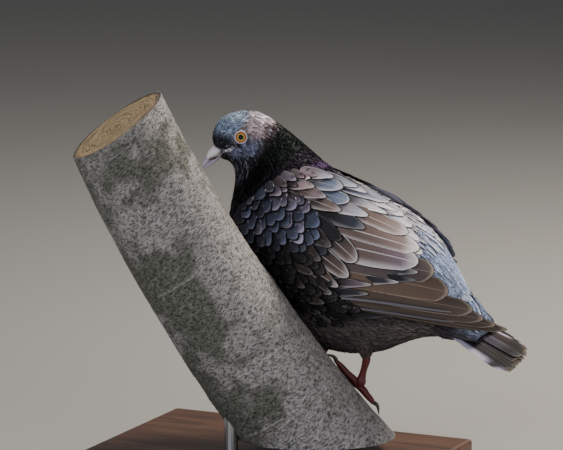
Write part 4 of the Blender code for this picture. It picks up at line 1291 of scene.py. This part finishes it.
def limb_point(d, angle, lift=0.0):
    """On the limb, or lifted off it, at an angle round from its top ridge.

    Its axis runs straight up, plus a bend that grows with the square of the way past its start.
    """
    d, angle, lift = np.broadcast_arrays(*(np.asarray(part, float) for part in (d, angle, lift)))
    foot_angle = FEET["left"][1]
    start = LEFT_SOLE - limb_radius(0.0) * (cos(foot_angle) * RIDGE + sin(foot_angle) * FAR)
    bend = ((d - LIMB_BEND_START) ** 2 - LIMB_BEND_START ** 2) / (LIMB_TOP - LIMB_BEND_START) ** 2
    axis = start + d[..., None] * UP + bend[..., None] * (LIMB_BEND * RIDGE - LIMB_SWEEP * FAR)
    out = np.cos(angle)[..., None] * RIDGE + np.sin(angle)[..., None] * FAR
    return axis + (limb_radius(d) + lift)[..., None] * out


print("limb's middle ridge", limb_point(100.0, 0.0).round(1))

# %% [markdown]
# The bark's relief is the sum of fine flecks, ridges that run across, slow swellings and the ring
# scars. Real scars end on one side of the limb, so each fades away from its own middle.

# %% Bark relief
BARK_ROWS, BARK_SIDES, END_RINGS = 330, 256, 25
SCARS = (  # distance up the limb, angle of the middle, half the angle it spans
    (70, -1.5, 0.5), (104, -0.9, 0.35), (28, -2.0, 0.7), (150, -2.1, 0.5), (124, 0.6, 0.8), (12, 1.4, 0.6),
    (-22, -1.2, 0.4),
)
MOST_RELIEF = 0.4


def lattice(u, v, count, seed):
    """Smooth noise in -1..1: random values on whole numbers, eased between; v repeats after count."""
    dice = np.random.default_rng(seed).uniform(-1, 1, (512, count))
    i, j = np.floor(u).astype(int), np.floor(v).astype(int)
    fu, fv = u - i, v - j
    fu, fv = fu * fu * (3 - 2 * fu), fv * fv * (3 - 2 * fv)
    low, high = (dice[i % 512, k % count] * (1 - fu) + dice[(i + 1) % 512, k % count] * fu
                 for k in (j, j + 1))
    return low * (1 - fv) + high * fv


bark_angle = around(BARK_SIDES)
low = np.full(BARK_SIDES, LIMB_FOOT)
for _ in range(12):
    low = low - (limb_point(low, bark_angle)[:, 2] - LIMB_CUT_HEIGHT) / UP[2]
bark_d = low + (LIMB_TOP - low) * np.linspace(0, 1, BARK_ROWS)[:, None]
bark_a = bark_angle + 0 * bark_d
turns = bark_a / (2 * pi)
fleck = lattice(bark_d / 2.3 + 2.6 * np.sin(bark_a), turns * 96, 96, 1)
ridge = 1 - np.abs(lattice(bark_d / 3.1, turns * 64 + bark_d / 9, 64, 2))
swell = lattice(bark_d / 34, turns * 7, 7, 3) + 0.5 * lattice(bark_d / 15, turns * 16, 16, 4)
scars = 0.0
for up, middle, half in SCARS:
    off = bark_d - up - 2.5 * np.cos(bark_a - middle) - 0.9 * swell
    away = np.abs((bark_a - middle + pi) % (2 * pi) - pi)
    scars = scars + np.exp(-(off / 0.8) ** 2) * smooth(half, 0.7 * half, away)
relief = 0.16 * fleck + 0.26 * (ridge - 0.5) + 0.5 * swell - 0.5 + 0.55 * scars
walls = limb_point(bark_d, bark_a, np.minimum(relief, MOST_RELIEF))
ends = np.linspace(1, 0.02, END_RINGS + 1)[:, None, None]
foot_cap, top_cap = ((ring.mean(0) + (ring - ring.mean(0)) * ends)[1:] for ring in (walls[0], walls[-1]))
top_cap -= UP * 0.5 * smooth(0.0, 0.15, 1 - ends[1:])
limb_rings = np.concatenate([foot_cap[::-1], walls, top_cap])
print("bark relief", relief.min().round(2), "to", relief.max().round(2), "mm")

# %% [markdown]
# The colours come from the same noise, point by point: pale raised flecks, dark pits, pale scars
# and green algae in slow patches, which grow into a dark green painted shade on one side of the
# limb. The sawn ends show growth rings by their share of the radius.

# %% Bark and sawn wood colours
def wood_rings(r):
    """Sawn wood by its share of the radius: pith, pale rings with darker late wood, bark at the rim."""
    wave = 0.5 + 0.5 * np.sin(2 * pi * (r * 17 + 0.6 * np.sin(5 * r)))
    return layered("b39a74", ("8c7048", smooth(0.55, 1.0, wave) * 0.7), ("6b5238", smooth(0.08, 0.02, r)),
                   ("4a443a", smooth(0.93, 0.955, r)))


damp = lattice(bark_d / 40, turns * 6, 6, 5) + 0.5 * lattice(bark_d / 9, turns * 24, 24, 6)
# green algae in slow patches, strengthened on one side of the limb as painted shade
algae_and_shade = smooth(-0.15, 0.7, damp + 0.35 * np.cos(bark_a + 2.4))
bark_tint = layered("a39f9b", ("4a4f3c", algae_and_shade * 0.75),
                    ("c9c5c2", smooth(0.35, 0.8, fleck) * 0.35 * (1 - 0.6 * algae_and_shade)),
                    ("37332e", smooth(-0.2, -0.75, fleck) * 0.4), ("cfcbc6", np.clip(scars, 0, 1) * 0.35))
cap_share = np.broadcast_to(ends[1:, :, 0] + 0.012 * np.sin(3 * bark_angle), (END_RINGS, BARK_SIDES))
cap_tint = wood_rings(cap_share)
limb_tint = np.concatenate([cap_tint[::-1], bark_tint, cap_tint]).reshape(-1, 3)
limb_tint = np.concatenate([limb_tint, np.tile(srgb("6b5238"), (2, 1))])
print("mean bark colour", bark_tint.mean((0, 1)).round(2))

# %% [markdown]
# The finish adds what is finer than the mesh. Its pits follow the limb, so they are drawn on a
# second attribute that holds the way up and around it; the grain reads Object coordinates.

# %% Bark finish
# smooth grey bark: dull and dry, mottled by a millimetre grain and darkened in its short pits
bark, shader = new_material("smooth_grey_bark", 0.88)
tint = add(shader, "Attribute", attribute_name="Tint")
way = add(shader, "Attribute", attribute_name="Way")
stretch = add(shader, "Mapping", {"Vector": way.outputs["Vector"], "Scale": (80.0, 38.0, 1.0)})
flecks = add(shader, "TexNoise", {"Scale": 1.0, "Detail": 3.0, "Roughness": 0.6, "Distortion": 0.8,
                                  "Vector": stretch})
mottle = add(shader, "TexNoise", {"Scale": MOTTLE_SCALE, "Detail": 4.0, "Roughness": 0.7,
                                  "Vector": add(shader, "TexCoord").outputs["Object"]})
pit = add(shader, "MapRange", (flecks, 0.38, 0.5, 0.3, 1.0), interpolation_type="SMOOTHSTEP")
tone = add(shader, "MapRange", (mottle, 0.3, 0.7, 0.7, 1.25))
both = add(shader, "Math", (pit, tone), operation="MULTIPLY")
worn = add(shader, "VectorMath", {0: tint, "Scale": both}, operation="SCALE")
pitted = add(shader, "Bump", {"Strength": 0.8, "Distance": 0.0008, "Height": both})
plug(shader, {"Base Color": worn, "Normal": pitted})
limb = solid("limb", [limb_rings], bark, ("perch_branch",), lambda p: limb_tint)
way_walls = xyz(bark_d, bark_a * limb_radius(bark_d), 0)
way_caps = xyz(300 + 0.8 * cap_share * 45, 5 * bark_angle, 0)
way_all = np.concatenate([way_caps[::-1], way_walls, way_caps]).reshape(-1, 3) / 100
paint(limb.data, "Way", np.concatenate([way_all, np.zeros((2, 3))]))

# %% [markdown]
# ## Legs and claws
# A pigeon's shank and toes are bare, dark red and covered in small plates. The toes wrap the
# limb: three point up it and one down, each ending in a short curved claw of dark horn. A tube
# along each toe's path on the bark keeps them gripping it, and its rings swell plate by plate.

# %% Toe paths and plates
TOES = {"inner": (24.0, 30.0), "middle": (30.0, 0.0), "outer": (25.0, -30.0), "hind": (15.0, 0.0)}
TOE_RADIUS, CLAW_LENGTH, CLAW_RADIUS = 2.5, 8.5, 1.25
PAD_HEIGHT = 7.0
ANKLE_RISES = {"left": (5.0, 0.5, 19.5), "right": (7.0, 4.0, 18.0)}
HIPS = {"left": np.array([8.0, -16.0, 62.0]), "right": np.array([-14.0, 14.0, 62.0])}
REST = TOE_RADIUS + 0.6


def toe_path(side, toe, first, last, lifts, count):
    """Along a toe from one length to another, lifted off the limb it lies on."""
    d, angle, front, hind = FEET[side]
    heading = hind if toe == "hind" else front + radians(TOES[toe][1]) * (1 if side == "left" else -1)
    length = np.linspace(first, last, count)
    return limb_point(d + length * cos(heading), angle + length * sin(heading) / limb_radius(d),
                      along(lifts, count))


def plates(count, height):
    """Swell of a scaled tube: overlapping plates on its upper side, each highest at its far end."""
    def swell(share, top):
        plate = np.mod(share * count, 1.0) ** 0.7 - 0.5
        return 1 + height * plate * (0.25 + 0.75 * smooth(-0.3, 0.6, top)) - 0.05 * smooth(0.0, -1.0, top)
    return swell


def leg_joints(side):
    """The sole, the ankle and the hip of one leg."""
    sole = limb_point(FEET[side][0], FEET[side][1], REST)
    return sole, sole + ANKLE_RISES[side], HIPS[side]


def two_tones(shader, pattern, low, high, strength=0.0, depth=0.0002):
    """Mix two colours by a pattern for the base colour, and raise the same pattern as fine relief."""
    colour = add(shader, "Mix", {0: pattern, 6: rgba(low), 7: rgba(high)}, data_type="RGBA")
    plug(shader, {"Base Color": colour.outputs[2]})
    if strength:
        bump = add(shader, "Bump", {"Strength": strength, "Distance": depth, "Height": pattern})
        plug(shader, {"Normal": bump})


print("middle toe's tip", toe_path("left", "middle", 0.0, TOES["middle"][0], [REST, REST], 9)[-1].round(1))

# %% Legs and claws
# scaled skin: half matt and a little fleshy, with dark lines between plates about 1.2 mm wide
leg_skin, shader = new_material("red_scaled_leg_skin", 0.5, Subsurface_Weight=0.12, Subsurface_Scale=0.0006,
                                Subsurface_Radius=(1.0, 0.3, 0.2))
edges = add(shader, "TexVoronoi", {"Scale": 850.0, "Vector": add(shader, "TexCoord").outputs["Object"]},
            feature="DISTANCE_TO_EDGE")
two_tones(shader, add(shader, "MapRange", (edges, 0.0, 0.12)), "2e0f0f", "65241f", 0.35)
# claw horn: dark, smooth and slightly shiny, as keratin is
claw_horn, shader = new_material("dark_claw_horn", 0.35, IOR=1.54, Base_Color=rgba("2a2422"))

for side in SIDES:
    sole, ankle, hip = leg_joints(side)
    up = unit(ankle - sole)
    shank = along([sole - 0.8 * up, sole + 0.5 * PAD_HEIGHT * up, sole + (PAD_HEIGHT + 1) * up,
                   (sole + ankle) / 2 + 3 * up, ankle, ankle + 5 * unit(hip - ankle)], 70)
    stacks = [tube(shank, along([2.0, 3.7, 2.8, 2.35, 2.9, 3.1], 70), 20, 1.0, plates(13, 0.10))]
    claws = []
    for toe, (length, _) in TOES.items():
        path = toe_path(side, toe, 0.0, length, [REST, REST + 0.4, REST, REST, REST - 0.2], 64)
        girth = TOE_RADIUS * along([1.0, 1.1, 0.97, 0.88, 0.6], 64)
        stacks.append(tube(path, girth, 18, 1.0, plates(length / 1.7, 0.13)))
        start = length - 0.8
        path = toe_path(side, toe, start, start + CLAW_LENGTH + 1.0,
                        [REST - 0.1, REST + 0.7, REST + 0.3, REST - 1.2, REST - 2.6], 24)
        claws.append(tube(path, CLAW_RADIUS * along([1.05, 1.0, 0.78, 0.5, 0.12], 24), 14, 1.15))
    solid(f"leg_skin_{side}", stacks, leg_skin, (f"foot_{side}", f"shank_{side}"))
    solid(f"claws_horn_{side}", claws, claw_horn, tuple(f"claw_{side}_{toe}" for toe in TOES))

# %% [markdown]
# ## Bill and cere
# The bill is thin horn over bone, hooked a little at its tip. Over its root swells the cere, two
# white powdery lobes, and under it opens a narrow dark nostril. All are lofts along the bill's
# own line, from rows of height and width read off the side view of a pigeon's head.

# %% Forms along the bill
BILL_TIP, BILL_BASE, BILL_HALF_WIDTH = np.array([-120.8, 154.4]), np.array([-110.4, 165.4]), 3.4
bill_way = unit(BILL_TIP - BILL_BASE)
bill_length = float(np.linalg.norm(BILL_TIP - BILL_BASE))
bill_rise = np.array([bill_way[1], -bill_way[0]])
UPPER = ((-0.3, 2.2, -1.6, 1), (0.15, 2.2, -1.6, 1), (0.35, 2.2, -1.4, 0.88), (0.6, 2.3, -1.2, 0.75),
         (0.82, 2.1, -1.1, 0.6), (0.95, 1.2, -1.6, 0.42), (1.03, -0.5, -2.2, 0.14))
LOWER = ((-0.3, -1.9, -5, 1), (0.15, -1.9, -5, 1), (0.35, -1.7, -4.8, 0.88), (0.6, -1.5, -4.2, 0.75),
         (0.82, -1.4, -3.3, 0.6), (0.94, -1.8, -2.6, 0.3))
CERE = ((-0.32, 1, -2.4, 1.3), (-0.14, 3.9, -3.2, 1.75), (0.06, 4.7, -3.1, 1.75), (0.24, 4.6, -2, 1.55),
        (0.4, 4.1, -0.9, 1.3), (0.5, 3.4, 0, 1), (0.57, 2.7, 0.9, 0.6))


def on_bill(share, height, y):
    """A place by its share along the bill, height over its line and distance from the middle."""
    flat = BILL_BASE + share[..., None] * bill_length * bill_way + height[..., None] * bill_rise
    return turn_head(xyz(flat[..., 0], y, flat[..., 1]))


def mandible(rows, crease=0.0):
    """Rings from rows of share along the bill, top height, bottom height and width share."""
    share, top, bottom, width = along(rows, 56).T[:, :, None]
    a = around(32)
    height = bottom + (top - bottom) * ((1 + np.cos(a)) / 2)
    y = BILL_HALF_WIDTH * width * np.sin(a)
    height = height - crease * (top - bottom) * np.exp(-(y / 0.9) ** 2) * smooth(0.2, 0.9, np.cos(a))
    return on_bill(share, height, y)


print("bill", round(bill_length, 1), "mm long from the edge of the cere")

# %% Bill, cere and nostrils
# bill horn: grey-lilac, satin, with streaks about 3 mm apart
bill_horn, shader = new_material("grey_lilac_bill_horn", 0.38, IOR=1.54)
spot = add(shader, "TexCoord").outputs["Object"]
streak = add(shader, "TexNoise", {"Scale": 320.0, "Detail": 3.0, "Vector": spot})
two_tones(shader, streak, "9791a6", "d3cddd")
# cere: chalky white, matt, with a powder grain under a millimetre
cere_skin, shader = new_material("powdery_cere", 0.85, Sheen_Weight=0.3, Subsurface_Weight=0.1,
                                 Subsurface_Scale=0.0008)
spot = add(shader, "TexCoord").outputs["Object"]
grit = add(shader, "TexNoise", {"Scale": 1500.0, "Detail": 3.0, "Vector": spot})
two_tones(shader, grit, "e9e3e2", "fffdfb", 0.3, 0.0001)
# nostril lining: dark damp skin, seen as a slit
nostril, shader = new_material("nostril_lining", 0.6, Base_Color=rgba("4a1719"))

solid("bill_upper_horn", [mandible(UPPER)], bill_horn, ("upper_bill",))
solid("bill_lower_horn", [mandible(LOWER)], bill_horn, ("lower_bill",))
solid("cere_lobes", [mandible(CERE, 0.35)], cere_skin, ("cere",))
share, height = np.linspace(0.12, 0.56, 20), np.linspace(-2.9, 0.3, 20)
width = BILL_HALF_WIDTH * np.interp(share, [0.1, 0.3, 0.45, 0.6], [1.0, 1.08, 0.95, 0.76])
slit = 0.5 * np.sin(np.linspace(0.1, pi - 0.1, 20)) ** 0.5
solid("nostrils", [tube(on_bill(share, height, sign * width), slit, 10) for sign in (-1, 1)], nostril)

# %% [markdown]
# ## Eyes
# The eye is set in a ring of bare whitish skin: a clear dome over a flat iris, orange-red outside
# and yellow inside, round a deep black pupil. Ball, dome and lids are turned forms about one
# axis; the iris is coloured by distance from it, because a painted ball would lose its depth.

# %% Eye profiles and finishes
BALL, PUPIL, IRIS = 5.2, 1.8, 3.75
sphere = [(BALL * sin(t), -BALL * cos(t)) for t in np.linspace(0.02, 2.3, 24)]
EYE_PROFILE = sphere + [(3.8, 4.3), (IRIS, 4.35), (3.5, 4.3), (3.2, 4.26), (2.9, 4.22), (2.6, 4.2),
                        (2.3, 4.18), (2.0, 4.16), (PUPIL, 4.12), (PUPIL - 0.06, 4.0), (1.2, 3.7),
                        (0.4, 3.5), (0.02, 3.5)]
DOME = [(3.85 * cos(t), 4.45 + 1.75 * sin(t)) for t in np.linspace(0.0, 1.55, 14)]
INNER_DOME = [(3.65 * cos(t), 4.42 + 1.6 * sin(t)) for t in np.linspace(1.55, 0.0, 14)]
LID = [(3.80, 3.6), (3.78, 4.2), (3.8, 4.5), (3.95, 4.8), (4.2, 4.9), (4.45, 4.75), (4.7, 4.4), (4.8, 3.9),
       (4.7, 3.4), (4.2, 3.2)]
LID_STEPS, LID_WRINKLES = 72, 18

# iris: a bright matt film with a thin wet coat over it
iris_film, shader = new_material("iris", 0.5, Coat_Weight=0.3, Coat_Roughness=0.04)
plug(shader, {"Base Color": add(shader, "Attribute", attribute_name="Tint")})
# cornea: nearly clear and very smooth, so it shows only as a small highlight
cornea, shader = new_material("clear_cornea", 0.02, Alpha=0.08, IOR=1.376, Specular_IOR_Level=0.3,
                              Base_Color=rgba("101010"))
# lid skin: pale and beaded, with beads of about half a millimetre
lid_skin, shader = new_material("bare_lid_skin", 0.6, Subsurface_Weight=0.15, Subsurface_Scale=0.0006)
beads = add(shader, "TexVoronoi", {"Scale": 1900.0, "Vector": add(shader, "TexCoord").outputs["Object"]})
two_tones(shader, beads, "f2edee", "bfb4b9", 0.5)
print("iris", 2 * IRIS, "mm across, pupil", 2 * PUPIL)

# %% Eyes
def iris_colours(centre, axis):
    """Colour by distance from the eye's axis: pupil, yellow, orange, red-brown rim, dark ball."""
    def tints(points):
        off = points - centre
        h = off @ axis
        r = np.linalg.norm(off - h[:, None] * axis, axis=1)
        return layered("ffe56e", ("ffab2a", smooth(2.3, 3.0, r)), ("e4430e", smooth(2.9, 3.3, r)),
                       ("5a1408", smooth(3.6, 3.85, r)), ("020202", smooth(PUPIL + 0.12, PUPIL, r)),
                       ("171010", smooth(4.1, 3.9, h) * (r > PUPIL)))
    return tints


for side, sign in zip(SIDES, (-1.0, 1.0)):
    ahead = (EYE + [0, 0.4, -0.4]) * [1, sign, 1]
    centre = turn_head(ahead)
    axis = unit(turn_head(ahead + np.array([0.03, sign, 0.13])) - centre)
    solid(f"eyeball_{side}", [turned(EYE_PROFILE, centre, axis)], iris_film, (f"eye_{side}",),
          iris_colours(centre, axis), 60)
    solid(f"cornea_{side}", [turned(DOME + INNER_DOME, centre, axis)], cornea, sharp=60)
    ring = turned(LID, centre, axis, LID_STEPS)
    wrinkle = 1 + 0.02 * np.sin(around(LID_STEPS) * LID_WRINKLES)
    loops = (centre + (ring - centre) * wrinkle[None, :, None]).reshape(-1, 3)
    grid = np.arange(len(loops)).reshape(-1, LID_STEPS)
    faces = outward(loops - centre, walls_of(np.concatenate([grid, grid[:1]])))
    new_object(f"lids_{side}", build_mesh(f"lids_{side}", place(loops), faces, 60), lid_skin)

# %% [markdown]
# ## Thighs
# The thighs' soft feathers hang down the leg to the ankle like short trousers. The body's rings
# don't reach down the leg, so they are laid on a tube of their own from hip to ankle. The lowest
# ones lie flat, so that the leg comes out of them cleanly.

# %% Thighs
THIGH_RADII = (14.0, 14.5, 13.8, 11.0, 6.4, 2.7)
THIGH_LIFT, THIGH_RINGS, THIGH_SIDES = 1.8, 41, 40
HALF_WAY = THIGH_RINGS // 2
for side in SIDES:
    sole, ankle, hip = leg_joints(side)
    hem = ankle + THIGH_LIFT * unit(hip - ankle)
    middle = hip + (hem - hip) * np.linspace(0, 1, THIGH_RINGS)[:, None]
    rings = tube(middle, along(THIGH_RADII, THIGH_RINGS), THIGH_SIDES)
    out = np.cross(np.gradient(rings, axis=0)[HALF_WAY, 0], rings[HALF_WAY, 1] - rings[HALF_WAY, -1])
    thigh = make_sheet(rings, True, np.sign(((rings[HALF_WAY, 0] - middle[HALF_WAY]) * out).sum()))
    u, v = spread(thigh, 12, 37, 1.7)
    n = len(u)
    laid = lay(thigh, u, v, rng.uniform(6, 10, n), 3.6 - 1.2 * smooth(20, 36, u), rng.normal(0, 0.2, n),
               (-0.8, 0.9 - 0.8 * smooth(24, 37, u)), rows=6, ragged=0.6, thick=0.3)
    colour = mix("4b4340", "615852", rng.random(n)) * np.exp(0.2 * rng.standard_normal((n, 1)))
    coat(f"coat_thigh_{side}", laid, colour, np.zeros((n, 3)), np.stack([v / THIGH_SIDES, u / 40], 1), 0.012,
         down)

# %% [markdown]
# ## Display stand
# A slab of oiled walnut and two brushed steel rods carry the limb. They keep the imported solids
# and only take their finishes here. Walnut shows long brown figure with fine dark pores; steel
# reflects softly because it is brushed round the rod.

# %% Walnut and steel
# oiled walnut: satin under a thin oil, figure stretched ten times along the slab
walnut, shader = new_material("oiled_walnut", 0.42, Coat_Weight=0.15, Coat_Roughness=0.3)
spot = add(shader, "TexCoord").outputs["Object"]
stretch = add(shader, "Mapping", {"Vector": spot, "Scale": (6.0, 60.0, 60.0)})
figure = add(shader, "TexNoise", {"Scale": 1.3, "Detail": 4.0, "Distortion": 1.2, "Vector": stretch})
pore_map = add(shader, "Mapping", {"Vector": spot, "Scale": (40.0, 900.0, 900.0)})
pores = add(shader, "TexNoise", {"Scale": 1.0, "Detail": 2.0, "Vector": pore_map})
ramp = add(shader, "ValToRGB", [figure])
for stop, at, code in zip(ramp.color_ramp.elements, (0.3, 0.72), ("38241a", "6b4a35")):
    stop.position, stop.color = at, rgba(code)
pore = add(shader, "MapRange", (pores, 0.35, 0.5, 0.72, 1.0))
plug(shader, {"Base Color": add(shader, "VectorMath", {0: ramp, "Scale": pore}, operation="SCALE")})
# brushed steel: bare metal whose fine scratches blur what it reflects
steel, shader = new_material("brushed_steel", 0.28, Metallic=1.0, Base_Color=rgba("b9bbbd"))
for name, material in (("stand_base", walnut), ("stand_rod_front", steel), ("stand_rod_back", steel)):
    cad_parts[name].material_slots[0].material = material
print("stand finished")

# %% [markdown]
# ## Studio
# The model stands on a plain pale floor under three soft area lights: a warm key from behind and
# above, a cool fill in front and a weak one at the side. Large lamps give soft shadows, in which
# the feather edges still read. The camera stands off the bird's left side, a little behind and
# above it, and far away, so that nothing looks too large for being near.

# %% Stage
floor_mesh = build_mesh("floor", np.array([[-3, -3, 0], [3, -3, 0], [3, 3, 0], [-3, 3, 0]]), [[0, 1, 2, 3]])
floor = bpy.data.objects.new("floor", floor_mesh)
bpy.context.scene.collection.objects.link(floor)
# pale paper: dull, so that it takes soft shadows and no reflections
floor_finish, shader = new_material("pale_paper", 0.9, Base_Color=rgba("94928e"))
floor_mesh.materials.append(floor_finish)
print("floor", floor.dimensions[:2])

# %% Camera
LOOK_AT = np.array([-0.00606, 0.04298, 0.17430])
VIEW_SIDE, VIEW_RISE = radians(25), radians(10)
CAMERA_WAY = unit([sin(VIEW_SIDE) * cos(VIEW_RISE), -cos(VIEW_SIDE) * cos(VIEW_RISE), sin(VIEW_RISE)])
CAMERA_REACH, VIEW_WIDTH, SENSOR_WIDTH = 2.5, 0.4021, 36.0


def aim(obj, spot, target):
    """Put a camera or light at a place and turn its -Z towards the target, its Y upwards."""
    way = unit(np.asarray(spot) - np.asarray(target))
    right = unit(np.cross([0.0, 0.0, 1.0], way))
    matrix = np.eye(4)
    matrix[:3] = np.stack([right, np.cross(way, right), way, spot], -1)
    obj.matrix_world = Matrix(matrix.tolist())
    bpy.context.scene.collection.objects.link(obj)


camera_data = bpy.data.cameras.new("camera")
camera_data.sensor_width = SENSOR_WIDTH
camera_data.lens = SENSOR_WIDTH * CAMERA_REACH / VIEW_WIDTH
camera = bpy.data.objects.new("camera", camera_data)
aim(camera, LOOK_AT + CAMERA_REACH * CAMERA_WAY, LOOK_AT)
bpy.context.scene.camera = camera
print("lens", round(camera_data.lens, 1), "mm")

# %% Lights
LIGHTS = {"key": ((0.55, 0.75, 1.25), 0.5, 36.0, "fff6ea"), "fill": ((-0.4, -1.6, 0.9), 1.2, 17.0, "eef3ff"),
          "side": ((1.4, -0.9, 0.8), 0.8, 9.0, "f7f6ff")}
for name, (spot, size, power, colour) in LIGHTS.items():
    lamp = bpy.data.lights.new(name, "AREA")
    lamp.size, lamp.energy, lamp.color = size, power, srgb(colour)
    aim(bpy.data.objects.new(name, lamp), spot, LOOK_AT)
world = bpy.data.worlds.new("studio")
bpy.context.scene.world = world
world.use_nodes = True
plug(world.node_tree.nodes["Background"], {"Color": rgba("b4b8bd"), "Strength": 0.3})
print("lights", list(LIGHTS))
